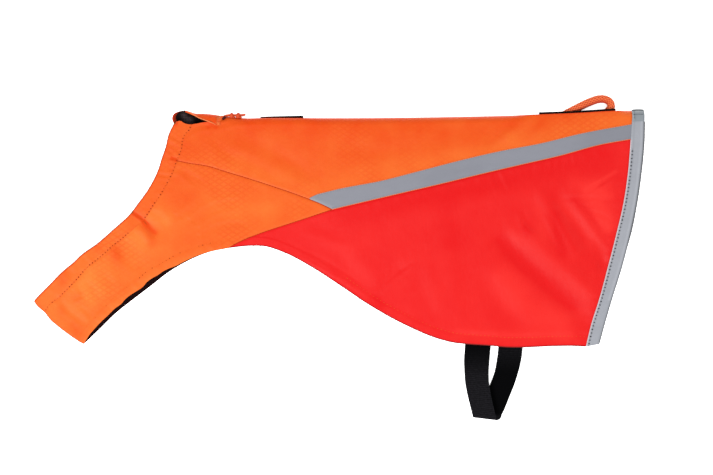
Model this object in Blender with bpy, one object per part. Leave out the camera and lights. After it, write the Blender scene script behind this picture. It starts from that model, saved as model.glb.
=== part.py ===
"""Dog protective vest, laid flat on its right side.

Lengths are in millimetres, and turned into metres where a mesh is made. A plan position is
measured from the foremost point of the chest fold (x, toward the tail) and from the lowest
point of the belly strap (y, toward the back). The right half is flat on the surface. The left
half lies on it, lofted: each of its walls is worked out from plan outlines and from one
height function, and rolls down to the right half along the back.
"""

import math

import bmesh
import bpy
import numpy as np

MM = 0.001
PLAN_CENTRE = (324.57, 165.83)

# Thicknesses and clearances.
CLOTH = 1.2
TAPE = 1.0
CASING = 1.8
CASING_PROUD = 0.3
WEBBING = 1.5
GAP = 0.3
FLOOR_TOP = CLOTH + GAP
FOOT = CASING + GAP
SHARP_DEGREES = 50.0
SAME_PLACE = 1e-6
SHARPEST_CORNER = 0.08
CURVE_STEPS = 40

# The roll of the left half along the back, and of the chest piece at the centre front.
ROLL = 8.0
ROLL_TURNS = (90.0, 67.5, 45.0, 22.5, 0.0)
CHEST_ROLL = 4.0
CHEST_ROLL_STEPS = 6

# How many cells of the walls run along each seam.
BAND_CELLS = 20
SHOULDER_CELLS = 17
STRIPE_START_CELL = 14
FLANK_CELLS = 34
CASING_BACK_CELLS = 4
MOUTH_CELLS = 4
NAPE_CELLS = 7
FAR_CASING_CELLS = 9
CHEST_ROWS = 9
CASING_ROWS = 4
BINDING_TOP_ROWS = 2
STRAP_CELLS = 12
RIGHT_BACK_CELLS = 40
RIDGE_STEPS = 240
KNOT_CELLS = (14, 8)

# Outlines and seams as (x, y), each a smooth curve through its points.
NECK_EDGE = ((0.4, 127), (6.7, 133.8), (16.4, 143.5), (33.7, 160.8), (42.6, 167.9), (50, 175.2),
             (68, 188.2), (84.5, 202.6), (103.5, 220.4), (109.6, 228.4), (122.6, 246.5),
             (132.3, 265.4), (136.5, 278.7))
NAPE_EDGE = ((136.5, 278.7), (140.8, 291), (143.6, 303), (149.7, 315.7))
NAPE_EDGE_FAR = ((136.5, 278.7), (140.8, 291), (143.6, 303), (149, 314.5), (147, 321), (148.8, 325.6),
                 (153.5, 328), (160.5, 329.5))
CASING_STITCH = ((12.5, 114.3), (43.5, 146.5), (67, 169.5), (90, 191), (105, 204), (119, 214.5),
                 (126, 227), (138, 240.5), (147.5, 259.5), (154, 279))
CASING_TO_BACK = ((154, 279), (158.8, 288), (159.6, 297.5), (162, 303.5), (166.4, 308), (168.5, 314.2))
CASING_TO_BACK_FAR = ((154, 279), (158.8, 288), (159.6, 297.5), (162, 305), (166.6, 316), (170.5, 326))
CASING_END = ((149.7, 315.7), (153.9, 317.7), (156.5, 318), (160, 315.9), (162.5, 314.9),
              (168.5, 314.2))
CASING_END_FAR = ((160.5, 329.5), (164, 328.4), (167.5, 327.2), (170.5, 326))
MOUTH_EDGE = ((168.5, 314.2), (175.3, 315.4), (179.6, 316.3), (184, 316.9))
CHEST_FOLD = ((53.6, 81.4), (50.6, 82.8), (38.6, 90.7), (27, 99.4), (17.2, 108), (12.5, 114.3))
CASING_FOLD = ((0.4, 127), (2.5, 123.8), (12.5, 114.3))
LEG_EDGE = ((53.6, 81.4), (59.5, 91), (70.5, 104.5), (98.5, 131.5), (124, 151), (149.5, 165),
            (179, 177), (206.5, 183.2))
LEG_EDGE_FAR = ((53.6, 81.4), (71.1, 98.3), (86.7, 113.6), (105.7, 128.7), (124.7, 143.2),
                (143.6, 157.8), (162.3, 168.9), (185.5, 178.7), (206.5, 183.2))
SHOULDER_SEAM = ((154, 279), (192, 269), (222.5, 259.5), (258.5, 248), (293.5, 235.4))
STRIPE_START_SEAM = ((293.5, 235.4), (305.5, 230), (317, 224.5))
FLANK_FRONT_SEAM = ((206.5, 183.2), (219.5, 191.5), (240.5, 200), (262, 206.5), (283, 213.5),
                    (304, 220.5), (317, 224.5))
FLANK_SEAM = ((317, 224.5), (346.5, 231), (389, 241.5), (431.5, 251), (474, 262), (516, 271.5),
              (558.5, 281), (601, 292), (634, 297.5))
FLANK_HEM = ((206.5, 183.2), (230, 185.6), (245, 185.2), (268, 177.7), (293.5, 164.2), (325.5, 143.6),
             (356.8, 122.6), (395.2, 101.4), (433.3, 85.9), (446, 82.9), (459, 81.5), (486, 79.6),
             (500, 78.2), (519, 77.9), (552, 79.2), (572, 79.4), (589, 78.5))
STRIPE_TOP = ((301.5, 238.9), (325.5, 246), (368, 254.5), (410, 265.5), (452.5, 276), (495, 286),
              (537.5, 294.5), (580, 304), (635.1, 314))
BINDING_INNER = ((634, 297.5), (632, 264), (626.5, 230), (618.5, 196), (609.5, 162), (600, 128.5),
                 (589, 78.5))
BINDING_INNER_TOP = (635.5, 329)
BINDING_INNER_LOW_JOIN = (635.3, 319.4)
BINDING_OUTER = ((648.7, 319.7), (648.4, 298), (645.4, 264), (641, 230), (634.1, 196), (624.5, 162),
                 (613.4, 128.5), (604.2, 95), (600.6, 81.4))
RIDGE = ((160.5, 329.5), (165.5, 328.4), (170.5, 326.5), (179, 326.2), (187.5, 325.5), (195, 324.5),
         (201.5, 323.4), (209, 321.8), (216, 320.5), (224.5, 320.2), (246, 321), (286, 321.2),
         (360, 321.5), (400, 321.9), (431.5, 322.4), (459, 322.9), (495, 323.7), (537.5, 325),
         (580, 326.7), (617, 328.8), (635, 329.1), (660, 329.2))
NAPE_RIM = ((161.5, 328.2), (165.5, 326.6), (170, 324.6), (176, 322), (181, 319.9), (186, 318.4))
NAPE_FACING = ((152.5, 318), (152, 322), (154.5, 325.5), (158, 327), (162.5, 326.6), (167.5, 324.3),
               (175, 323.3), (184.5, 322.6), (190, 320.8), (190, 307), (167, 300.5), (159, 305))
BACK_RIDGE_START = 204.5
NAPE_CORNER_X = 190
STRIPE_CLEAR = 0.6
STRIPE_TIP = 1.2
STRIPE_ROWS_AT_CASING = (0.1, 0.2)

# Room between the two halves, at spots of the plan.
ROOM_SPOTS = (
    # name, x, y, room
    ("nape", 204.5, 314, 6.5),
    ("ridge at the front slit", 286, 312.5, 8.5),
    ("ridge, front half", 389, 312.5, 9.5),
    ("ridge, rear half", 495, 315, 10.2),
    ("ridge at the rope", 570, 317, 10.6),
    ("ridge at the hem", 640, 320, 10.4),
    ("back, front", 283, 276.5, 5.4),
    ("back, middle", 389, 282, 7.2),
    ("back, rear", 495, 287.5, 8.2),
    ("back, hem", 622, 287.5, 8.4),
    ("flank, front", 336, 192, 2.6),
    ("flank, top", 389, 234.5, 5.0),
    ("flank, top rear", 495, 245, 6.2),
    ("flank, top hem", 622, 245, 6.4),
    ("flank, middle", 442, 170.5, 3.4),
    ("flank, hem", 605, 181.5, 3.8),
    ("leg arch", 230, 185.5, 1.5),
    ("leg edge", 293.5, 164.5, 0.6),
    ("leg edge, low", 380, 110, 0.5),
    ("strap, front edge", 471.5, 80.5, 2.4),
    ("strap, front seam", 471.5, 97, 2.5),
    ("strap, rear edge", 507, 78.5, 2.4),
    ("strap, rear seam", 507, 97, 2.5),
    ("hem, low", 555, 80, 1.0),
    ("hem corner", 601, 82.5, 1.3),
    ("shoulder", 153.5, 276.5, 5.2),
    ("chest, middle", 198, 234.5, 3.2),
    ("chest, leg edge", 177, 178, 1.8),
    ("band, leg edge", 98.5, 131.5, 1.8),
    ("band, fold corner", 54, 82.5, 2.0),
    ("band, upper", 124, 223.5, 3.2),
    ("band, middle", 71, 186.5, 2.8),
    ("band, fold", 0, 126, 2.8),
    ("band, low middle", 60.5, 139, 2.8),
    ("mouth", 149.5, 316, 7.2),
)
LEAST_ROOM = 0.25
ROOM_SCALE = 100.0

# The largest folds of the left half: a soft ridge or trough along a line.
FOLDS = (
    # name, from x, from y, to x, to y, half-width, height
    ("flank, long trough", 497, 190, 583, 109, 11, -1.5),
    ("flank, long ridge", 524, 199, 595, 136, 10, 1.1),
    ("flank, hem trough", 560, 232, 603, 168, 9, -1.3),
    ("flank, ray", 540, 238, 574, 178, 8, 1.0),
    ("back, rear trough", 486, 297, 508, 312, 8, -0.8),
    ("back, rear ridge", 506, 298, 528, 314, 8, 0.7),
    ("back, front trough", 236, 282, 282, 266, 12, -0.7),
    ("shoulder crease", 107, 219, 130, 203, 8, -0.9),
    ("band, hollow", 100, 186, 112, 168, 10, -0.7),
    ("band, fold hollow", 27, 128, 48, 102, 9, -0.6),
    ("flank, dart trough", 366, 130, 388, 158, 9, -0.6),
)

# Stretches of the back seam left open: the left half's edge is lifted there.
SLITS = (
    # name, lifted from, lifted to, front ramp, rear ramp, share of the roll's height
    ("front", 240, 289, 22, 16, 0.34),
    ("rear", 532, 619, 26, 13, 1.0),
)
SLIT_TAPES = (
    # name, from x, to x, reach beyond the edge at the front, at the rear, gap under the edge
    ("slit_tape_front", 241, 286.5, 1.1, 2.4, 0.5),
    ("slit_tape_rear", 536, 617, 2.1, 2.1, 0.8),
)
SLIT_TAPE_INSIDE = 9.0
SLIT_TAPE_CELLS = 8

# The belly strap, as crossings of its middle surface.
STRAP_NEAR = (
    # front edge x, y, rear edge x, y, height
    (459, 95.5, 486.3, 95, 2.25),
    (458.5, 86, 485.8, 85.5, 2.25),
    (457.7, 76.5, 484.9, 75.5, 2.7),
    (456.9, 65, 483.9, 63.5, 4.2),
    (457.1, 54, 483.1, 52.5, 5.9),
    (457.9, 42, 483.4, 40.5, 7.1),
    (459.9, 30, 485.2, 28.5, 7.5),
    (462.9, 17.5, 488, 15.5, 7.5),
    (466, 5.2, 491.2, 2.2, 7.4),
)
STRAP_FAR = (
    (471.8, 8.6, 497, 5.8, 0.8),
    (475, 17.5, 500.4, 13, 0.8),
    (479.9, 28.2, 504.6, 23.6, 0.8),
    (485.1, 39.6, 510, 37, 0.8),
    (489.6, 53, 514.9, 52.2, 0.8),
    (492, 66, 517.9, 65.4, 1.0),
    (493.3, 77, 519, 76.5, 2.25),
    (493.8, 86, 519.3, 85.5, 2.25),
    (494, 95.5, 519.5, 95, 2.25),
)
STRAP_BULGE = (0.5, -1.9, 0.0)
STRAP_TURNS = (30.0, 60.0, 90.0, 120.0, 150.0)

ROPE_RADIUS = 4.0
ROPE_ROUTE = (
    # x, y, height of the middle
    (553.5, 317.5, 5.6),
    (558.5, 321.5, 5.6),
    (564.5, 325.3, 5.6),
    (571, 328.8, 5.4),
    (578, 332.3, 4.8),
    (585, 335.8, 4.3),
    (592.5, 339, 4.1),
    (600, 341.2, 4.1),
    (606.8, 340.9, 4.1),
    (611.6, 338, 4.3),
    (612.9, 333.8, 4.8),
    (610.6, 329.4, 5.4),
    (606.9, 325.6, 5.6),
    (602.6, 321.8, 5.6),
    (598, 317.8, 5.6),
)
ROPE_POINTS = 34

CORD_RADIUS = 1.3
CORD_ON_BACK = ((196, 317.2), (199, 319.0))
CORD_FREE = (
    # x, y, height of the middle
    (202.8, 322.7, 8.3),
    (206.6, 324.0, 5.6),
    (210.6, 324.3, 4.2),
    (214.8, 324.2, 4.1),
    (219, 324.2, 4.0),
    (222.4, 324.5, 3.0),
    (225.2, 325.0, 1.9),
)
CORD_POINTS = 20
KNOT_CLEAR = 0.4
KNOTS = (
    # name, share of the cord's length, outer radius, length
    ("drawcord_knot_a", 0.56, 2.8, 5.2),
    ("drawcord_knot_b", 0.83, 2.9, 5.6),
)

ORANGE = (0.98, 0.17, 0.03)
RED = (0.96, 0.035, 0.03)
GREY = (0.42, 0.43, 0.46)
DARK_GREY = (0.24, 0.26, 0.29)
BLACK = (0.012, 0.011, 0.013)
LINING = (0.02, 0.008, 0.009)
ROPE_ORANGE = (0.72, 0.12, 0.04)


def along(points, count):
    """count + 1 points, evenly spaced on a smooth curve through the points."""
    points = np.array(points, float)
    chord = np.linalg.norm(np.diff(points, axis=0), axis=1)
    knots = np.concatenate([[0.0], np.cumsum(chord)])
    slope = np.gradient(points, knots, axis=0)
    fine = np.linspace(0.0, knots[-1], CURVE_STEPS * len(points))
    k = np.clip(np.searchsorted(knots, fine, side="right") - 1, 0, len(chord) - 1)
    span = chord[k][:, None]
    s = ((fine - knots[k]) / chord[k])[:, None]
    line = points[k] * (2 * s**3 - 3 * s**2 + 1) + points[k + 1] * (3 * s**2 - 2 * s**3)
    line += span * (slope[k] * (s**3 - 2 * s**2 + s) + slope[k + 1] * (s**3 - s**2))
    length = np.concatenate([[0.0], np.cumsum(np.linalg.norm(np.diff(line, axis=0), axis=1))])
    wanted = np.linspace(0.0, length[-1], count + 1)
    return np.stack([np.interp(wanted, length, axis) for axis in line.T], axis=1)


def straight(start, end, count):
    """count + 1 points, evenly spaced on a straight line."""
    share = np.linspace(0.0, 1.0, count + 1)[:, None]
    return np.array(start) * (1 - share) + np.array(end) * share


def joined(*curves):
    """Curves that follow each other, as one, with each meeting point once."""
    return np.concatenate([curves[0]] + [curve[1:] for curve in curves[1:]])


RIDGE_LINE = along(RIDGE, RIDGE_STEPS)


def ridge(x):
    """Plan position of the back's outermost line."""
    return np.interp(x, RIDGE_LINE[:, 0], RIDGE_LINE[:, 1])


def ease(share):
    """A ramp from 0 to 1 with soft ends."""
    share = np.clip(share, 0.0, 1.0)
    return share * share * (3 - 2 * share)


def thin_plate(distance):
    """How far one spot's weight is felt."""
    return distance**2 * np.log(np.maximum(distance, 1e-9))


def fitted_room():
    """Weights of the smooth surface through ROOM_SPOTS."""
    places = np.array([row[1:3] for row in ROOM_SPOTS]) / ROOM_SCALE
    rooms = np.array([row[3] for row in ROOM_SPOTS])
    count = len(places)
    between = np.linalg.norm(places[:, None] - places[None], axis=2)
    plane = np.hstack([np.ones((count, 1)), places])
    system = np.zeros((count + 3, count + 3))
    system[:count, :count] = thin_plate(between)
    system[:count, count:] = plane
    system[count:, :count] = plane.T
    return places, np.linalg.solve(system, np.concatenate([rooms, np.zeros(3)]))


ROOM_PLACES, ROOM_WEIGHTS = fitted_room()


def fold_height(x, y):
    """How far the folds raise the left half at a plan position."""
    height = 0.0
    for _, from_x, from_y, to_x, to_y, half_width, crest in FOLDS:
        run_x = to_x - from_x
        run_y = to_y - from_y
        share = np.clip(((x - from_x) * run_x + (y - from_y) * run_y) / (run_x**2 + run_y**2), 0.0, 1.0)
        away = np.hypot(x - from_x - share * run_x, y - from_y - share * run_y)
        height += crest * math.exp(-((away / half_width) ** 2))
    return height


def outer_height(x, y):
    """Height of the left half's outer face."""
    place = np.array([x, y]) / ROOM_SCALE
    weights = thin_plate(np.linalg.norm(ROOM_PLACES - place, axis=1))
    room = weights @ ROOM_WEIGHTS[:-3] + ROOM_WEIGHTS[-3] + place @ ROOM_WEIGHTS[-2:]
    return FLOOR_TOP + CLOTH + max(room + fold_height(x, y), LEAST_ROOM)


def foot_height(x):
    """Height of the left half's edge along the back: down on the right half, but lifted at a slit."""
    full = outer_height(x, ridge(x) - ROLL) - CLOTH - FOOT
    lift = 0.0
    for _, start, end, front_ramp, rear_ramp, share in SLITS:
        rise = ease((x - start + front_ramp) / front_ramp)
        fall = ease((end + rear_ramp - x) / rear_ramp)
        lift += share * rise * fall
    return FOOT + lift * full


def near_point(x, y, depth):
    """A point of the left half, `depth` under its outer face, over a plan position."""
    top = outer_height(x, y)
    edge = ridge(x) - GAP / 2
    if edge - y >= ROLL:
        return (x, y, top - depth)
    turn = min(1.0, 1.0 - (edge - y) / ROLL)
    foot = foot_height(x)
    rise = math.sqrt(1.0 - turn**2)
    return (x, edge - depth - (ROLL - depth) * (1.0 - turn), foot + (top - depth - foot) * rise)


def coons(bottom, top, left, right):
    """Plan grid between four sides: rows from bottom to top, columns from left to right."""
    u = np.linspace(0.0, 1.0, len(bottom))[None, :, None]
    v = np.linspace(0.0, 1.0, len(left))[:, None, None]
    grid = (1 - v) * bottom[None] + v * top[None] + (1 - u) * left[:, None] + u * right[:, None]
    grid -= (1 - u) * (1 - v) * bottom[0] + u * (1 - v) * bottom[-1]
    grid -= (1 - u) * v * top[0] + u * v * top[-1]
    return grid


def side_ring(rows, columns):
    """The cells' corners on a grid's four sides, in order round it."""
    ring = [(0, c) for c in range(columns)]
    ring += [(r, columns - 1) for r in range(1, rows)]
    ring += [(rows - 1, c) for c in range(columns - 2, -1, -1)]
    ring += [(r, 0) for r in range(rows - 2, 0, -1)]
    return ring


def drawn_in(outline, distance):
    """A closed outline moved inwards."""
    moved = outline.copy()
    count = len(outline)
    following = np.roll(outline, -1, axis=0)
    turning = np.sum(outline[:, 0] * following[:, 1] - following[:, 0] * outline[:, 1])
    for i in range(count):
        before = next(outline[(i - k) % count] for k in range(1, count)
                      if np.linalg.norm(outline[i] - outline[(i - k) % count]) > SAME_PLACE)
        after = next(outline[(i + k) % count] for k in range(1, count)
                     if np.linalg.norm(outline[i] - outline[(i + k) % count]) > SAME_PLACE)
        arriving = (outline[i] - before) / np.linalg.norm(outline[i] - before)
        leaving = (after - outline[i]) / np.linalg.norm(after - outline[i])
        normals = [np.array([-d[1], d[0]]) * np.sign(turning) for d in (arriving, leaving)]
        spread = max(1.0 + normals[0] @ normals[1], SHARPEST_CORNER)
        moved[i] += distance * (normals[0] + normals[1]) / spread
    return moved


def grid_drawn_in(grid):
    """The plan grid with half a seam gap left free all round."""
    rows, columns = grid.shape[:2]
    ring = side_ring(rows, columns)
    outline = np.array([grid[r, c] for r, c in ring])
    grid = grid.copy()
    for (r, c), place in zip(ring, drawn_in(outline, GAP / 2)):
        grid[r, c] = place
    return grid


def material(name, colour, roughness, metallic=0.0):
    made = bpy.data.materials.new(name)
    made.use_nodes = True
    shader = made.node_tree.nodes["Principled BSDF"]
    shader.inputs["Base Color"].default_value = (*colour, 1.0)
    shader.inputs["Roughness"].default_value = roughness
    shader.inputs["Metallic"].default_value = metallic
    return made


def add(name, mesh_or_curve, made_of):
    mesh_or_curve.materials.append(made_of)
    thing = bpy.data.objects.new(name, mesh_or_curve)
    bpy.context.scene.collection.objects.link(thing)
    return thing


def world(point):
    return ((point[0] - PLAN_CENTRE[0]) * MM, (point[1] - PLAN_CENTRE[1]) * MM, point[2] * MM)


def solid(name, points, faces, made_of, smooth):
    """A closed solid from points in millimetres, with doubled points merged and its faces turned out."""
    shape = bmesh.new()
    corners = [shape.verts.new(world(point)) for point in points]
    for face in faces:
        shape.faces.new([corners[i] for i in face])
    bmesh.ops.remove_doubles(shape, verts=shape.verts, dist=1e-6)
    bmesh.ops.recalc_face_normals(shape, faces=shape.faces)
    mesh = bpy.data.meshes.new(name)
    shape.to_mesh(mesh)
    shape.free()
    if smooth:
        mesh.shade_smooth()
        mesh.set_sharp_from_angle(angle=math.radians(SHARP_DEGREES))
    return add(name, mesh, made_of)


def wall(name, outer, inner, made_of):
    """A closed wall between two grids of points."""
    rows, columns = len(outer), len(outer[0])
    size = rows * columns
    points = [point for grid in (outer, inner) for row in grid for point in row]
    faces = []
    for r in range(rows - 1):
        for c in range(columns - 1):
            near = r * columns + c
            cell = (near, near + 1, near + columns + 1, near + columns)
            faces.append(cell)
            faces.append(tuple(i + size for i in reversed(cell)))
    ring = [r * columns + c for r, c in side_ring(rows, columns)]
    for i, j in zip(ring, ring[1:] + ring[:1]):
        faces.append((j, i, i + size, j + size))
    return solid(name, points, faces, made_of, smooth=True)


def near_wall(name, grid, made_of, top=0.0, bottom=CLOTH):
    """A wall of the left half over a plan grid, between two depths under the outer face."""
    outer = [[near_point(x, y, top) for x, y in row] for row in grid]
    inner = [[near_point(x, y, bottom) for x, y in row] for row in grid]
    return wall(name, outer, inner, made_of)


def flat_piece(name, outline, bottom, top, made_of):
    """A flat piece inside a plan outline."""
    outline = drawn_in(np.array(outline), GAP / 2)
    count = len(outline)
    points = [(x, y, z) for z in (bottom, top) for x, y in outline]
    faces = [tuple(range(count)), tuple(range(2 * count - 1, count - 1, -1))]
    for i in range(count):
        j = (i + 1) % count
        faces.append((i, j, j + count, i + count))
    return solid(name, points, faces, made_of, smooth=False)


def folded_wall(name, near_grid, far_grid, near_proud, thickness, made_of):
    """A wall that lies on itself: a near grid, a roll round their common first column, a far grid."""
    outer, inner = [], []
    for near_row, far_row in zip(near_grid, far_grid):
        along_row = near_row[1] - near_row[0]
        inward = along_row / np.linalg.norm(along_row)
        outer_row = [near_point(x, y, -near_proud) for x, y in near_row[:0:-1]]
        inner_row = [near_point(x, y, thickness - near_proud) for x, y in near_row[:0:-1]]
        high = outer_height(*near_row[0]) + near_proud
        for step in range(CHEST_ROLL_STEPS + 1):
            turn = math.pi * step / CHEST_ROLL_STEPS
            outer_place = near_row[0] + inward * CHEST_ROLL * (1 - math.sin(turn))
            inner_reach = thickness + (CHEST_ROLL - thickness) * (1 - math.sin(turn))
            inner_place = near_row[0] + inward * inner_reach
            outer_row.append((*outer_place, high / 2 * (1 + math.cos(turn))))
            inner_half = (high - 2 * thickness) / 2
            inner_row.append((*inner_place, thickness + inner_half * (1 + math.cos(turn))))
        outer_row += [(x, y, 0.0) for x, y in far_row[1:]]
        inner_row += [(x, y, thickness) for x, y in far_row[1:]]
        outer.append(outer_row)
        inner.append(inner_row)
    return wall(name, outer, inner, made_of)


def nape_corner():
    """Where the mouth ends and the roll of the back begins."""
    return (NAPE_CORNER_X, ridge(NAPE_CORNER_X) - ROLL)


def seams():
    """The sampled seams and edges that neighbouring pieces share."""
    stripe_start = along(STRIPE_START_SEAM, SHOULDER_CELLS - STRIPE_START_CELL)
    return {
        "stitch": along(CASING_STITCH, BAND_CELLS),
        "casing back": along(CASING_TO_BACK, CASING_BACK_CELLS),
        "casing back far": along(CASING_TO_BACK_FAR, FAR_CASING_CELLS),
        "mouth": along(MOUTH_EDGE + (nape_corner(),), MOUTH_CELLS),
        "shoulder": joined(along(SHOULDER_SEAM, STRIPE_START_CELL), stripe_start),
        "flank front": along(FLANK_FRONT_SEAM, SHOULDER_CELLS),
        "flank": along(FLANK_SEAM, FLANK_CELLS),
        "binding side": along(BINDING_INNER, SHOULDER_CELLS),
    }


def roll_rows(left_x, right_x, count):
    """Plan rows along the back, from where the roll starts up to the ridge."""
    rows = []
    for turn in sorted(ROLL_TURNS):
        below = ROLL * (1 - math.sin(math.radians(turn)))
        share = below / ROLL
        xs = np.linspace(left_x + (NAPE_CORNER_X - left_x) * share, right_x, count + 1)
        rows.append(np.stack([xs, ridge(xs) - below], axis=1))
    return rows


def back_left_grid(seam):
    """Rows from the lower seam up: the stripe's lower edge, its top edge, the back, the roll."""
    lower = joined(seam["shoulder"], seam["flank"])
    columns = len(lower)
    left = joined(seam["casing back"], seam["mouth"])
    rolled = roll_rows(BACK_RIDGE_START, BINDING_INNER_TOP[0], columns - 1)
    low_row = lower + (0.0, STRIPE_CLEAR)
    high_row = lower + (0.0, STRIPE_CLEAR + STRIPE_TIP)
    stripe_from = STRIPE_START_CELL + 1
    high_row[stripe_from:] = along(STRIPE_TOP, columns - 1 - stripe_from)
    low_row[0], high_row[0] = [left[0] + (left[1] - left[0]) * share for share in STRIPE_ROWS_AT_CASING]
    above = np.concatenate([high_row[:1], left[1:]])
    below_roll = rolled[0]
    right = straight(high_row[-1], below_roll[-1], len(above) - 1)
    main = coons(high_row, below_roll, above, right)
    return np.concatenate([[lower], [low_row], main, rolled[1:]])


def binding_left_grid():
    """Two columns of cells from the ridge down the hem, the join's rows first."""
    rows = []
    for turn in ROLL_TURNS:
        below = ROLL * (1 - math.sin(math.radians(turn)))
        xs = np.linspace(BINDING_INNER_TOP[0], BINDING_OUTER[0][0], 3)
        rows.append(np.stack([xs, ridge(xs) - below], axis=1))
    inner = joined(straight(BINDING_INNER_LOW_JOIN, BINDING_INNER[0], BINDING_TOP_ROWS),
                   along(BINDING_INNER, SHOULDER_CELLS))
    outer = along(BINDING_OUTER, len(inner) - 1)
    down = [straight(a, b, 2) for a, b in zip(inner, outer)]
    return np.array(rows + down)


def chest_grid(leg_edge, seam):
    """Columns from the centre-front fold to the shoulder point, rows from the leg edge up."""
    across = straight(leg_edge[-1], seam["stitch"][-1], CHEST_ROWS)
    band = coons(leg_edge, seam["stitch"], along(CHEST_FOLD, CHEST_ROWS), across)
    tip = np.repeat(seam["shoulder"][-1:], CHEST_ROWS + 1, axis=0)
    shoulder = coons(seam["flank front"], seam["shoulder"], across, tip)
    return np.concatenate([band, shoulder[:, 1:]], axis=1)


def casing_grid(neck_edge, inner_edge, end):
    """Columns from the centre-front fold to the nape, rows from the neck edge in."""
    return coons(neck_edge, inner_edge, along(CASING_FOLD, CASING_ROWS), along(end, CASING_ROWS))


def make_chest(seam, orange, lining):
    near = grid_drawn_in(chest_grid(along(LEG_EDGE, BAND_CELLS), seam))
    far = grid_drawn_in(chest_grid(along(LEG_EDGE_FAR, BAND_CELLS), seam))
    folded_wall("chest_panel", near, far, 0.0, CLOTH, orange)
    under = chest_grid(along(LEG_EDGE_FAR, BAND_CELLS), seam)[:, 1 : BAND_CELLS + 1]
    outline = np.array([under[r, c] for r, c in side_ring(*under.shape[:2])])
    flat_piece("chest_lining", outline, FLOOR_TOP, FLOOR_TOP + TAPE, lining)


def make_casing(seam, orange):
    front = along(NECK_EDGE, BAND_CELLS)
    near_edge = joined(front, along(NAPE_EDGE, CASING_BACK_CELLS))
    near = casing_grid(near_edge, joined(seam["stitch"], seam["casing back"]), CASING_END)
    far_edge = joined(front, along(NAPE_EDGE_FAR, FAR_CASING_CELLS))
    far = casing_grid(far_edge, joined(seam["stitch"], seam["casing back far"]), CASING_END_FAR)
    folded_wall("neck_casing", grid_drawn_in(near), grid_drawn_in(far), CASING_PROUD, CASING, orange)


def make_nape(orange, lining):
    rolled = [row[0] for row in roll_rows(BACK_RIDGE_START, BINDING_INNER_TOP[0], 1)]
    rim = along(NAPE_RIM + (nape_corner(),), NAPE_CELLS)
    xs = np.linspace(rim[0][0], rolled[-1][0], NAPE_CELLS + 1)
    top = np.stack([xs, ridge(xs)], axis=1)
    grid = coons(rim, top, straight(rim[0], top[0], len(rolled) - 1), np.array(rolled))
    near_wall("nape_casing", grid_drawn_in(grid), orange)
    flat_piece("nape_facing", NAPE_FACING, CASING + GAP, CASING + GAP + TAPE, lining)


def make_back(seam, orange, tape):
    grid = back_left_grid(seam)
    near_wall("back_left", grid_drawn_in(grid), orange)
    strip = grid[1:3, STRIPE_START_CELL:]
    near_wall("stripe_left", grid_drawn_in(strip), tape, -GAP - TAPE, -GAP)
    xs = np.linspace(BINDING_INNER_TOP[0], CASING_END_FAR[-1][0], RIGHT_BACK_CELLS + 1)
    far_top = np.stack([xs, ridge(xs)], axis=1)
    stripe_top = along(STRIPE_TOP, FLANK_CELLS)
    before_stripe, stripe_end = np.split(seam["shoulder"], [STRIPE_START_CELL])
    stripe_outline = np.concatenate([stripe_end, seam["flank"][1:], stripe_top[::-1]])
    back_outline = np.concatenate([before_stripe, stripe_end[:1], stripe_top, far_top,
                                   seam["casing back far"][-2:0:-1]])
    flat_piece("back_right", back_outline, 0.0, CLOTH, orange)
    flat_piece("stripe_right", stripe_outline, 0.0, CLOTH, tape)


def make_sides(seam, red):
    hem = along(FLANK_HEM, FLANK_CELLS)
    near = coons(hem, seam["flank"], seam["flank front"], seam["binding side"][::-1])
    near_wall("side_left", grid_drawn_in(near), red)
    outline = np.concatenate([hem, seam["binding side"][::-1][1:], seam["flank"][::-1][1:],
                              seam["flank front"][::-1][1:-1]])
    flat_piece("side_right", outline, 0.0, CLOTH, red)


def make_binding(tape, dark_tape):
    grid = binding_left_grid()
    near_wall("hem_binding_left", grid_drawn_in(grid), tape, -CASING_PROUD, CASING - CASING_PROUD)
    join = grid[: len(ROLL_TURNS) + 1]
    proud = CASING_PROUD + GAP
    near_wall("hem_binding_join", grid_drawn_in(join), dark_tape, -proud - TAPE, -proud)
    top = [(x, ridge(x)) for x in (BINDING_OUTER[0][0], BINDING_INNER_TOP[0])]
    inner = joined(straight(BINDING_INNER_TOP, BINDING_INNER[0], BINDING_TOP_ROWS),
                   along(BINDING_INNER, SHOULDER_CELLS))
    outer = along(BINDING_OUTER, SHOULDER_CELLS)
    flat_piece("hem_binding_right", np.concatenate([top, inner[1:], outer[::-1]]), 0.0, CASING, tape)


def make_slit_tapes(black):
    for name, start, end, front_reach, rear_reach, under in SLIT_TAPES:
        upper, lower = [], []
        for share in np.linspace(0.0, 1.0, SLIT_TAPE_CELLS + 1):
            x = start + (end - start) * share
            reach = front_reach + (rear_reach - front_reach) * share
            height = foot_height(x) - under
            ys = (ridge(x) - SLIT_TAPE_INSIDE, ridge(x) - GAP, ridge(x) + reach)
            upper.append([(x, y, height) for y in ys])
            lower.append([(x, y, height - TAPE) for y in ys])
        wall(name, upper, lower, black)


def make_strap(black):
    near_leg, far_leg = [along(leg, STRAP_CELLS)[:, (0, 1, 4, 2, 3, 4)].reshape(-1, 2, 3)
                         for leg in (STRAP_NEAR, STRAP_FAR)]
    bend = []
    for turn in STRAP_TURNS:
        angle = math.radians(turn)
        share = (1 - math.cos(angle)) / 2
        between = near_leg[-1] + (far_leg[0] - near_leg[-1]) * share
        bend.append(between + np.array(STRAP_BULGE) * math.sin(angle))
    middle = np.concatenate([near_leg, bend, far_leg])
    run = np.gradient(middle, axis=0)
    across = middle[:, 1:] - middle[:, :1]
    normal = np.cross(across, run)
    normal /= np.linalg.norm(normal, axis=2)[:, :, None]
    wall("belly_strap", middle + normal * WEBBING / 2, middle - normal * WEBBING / 2, black)


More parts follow.
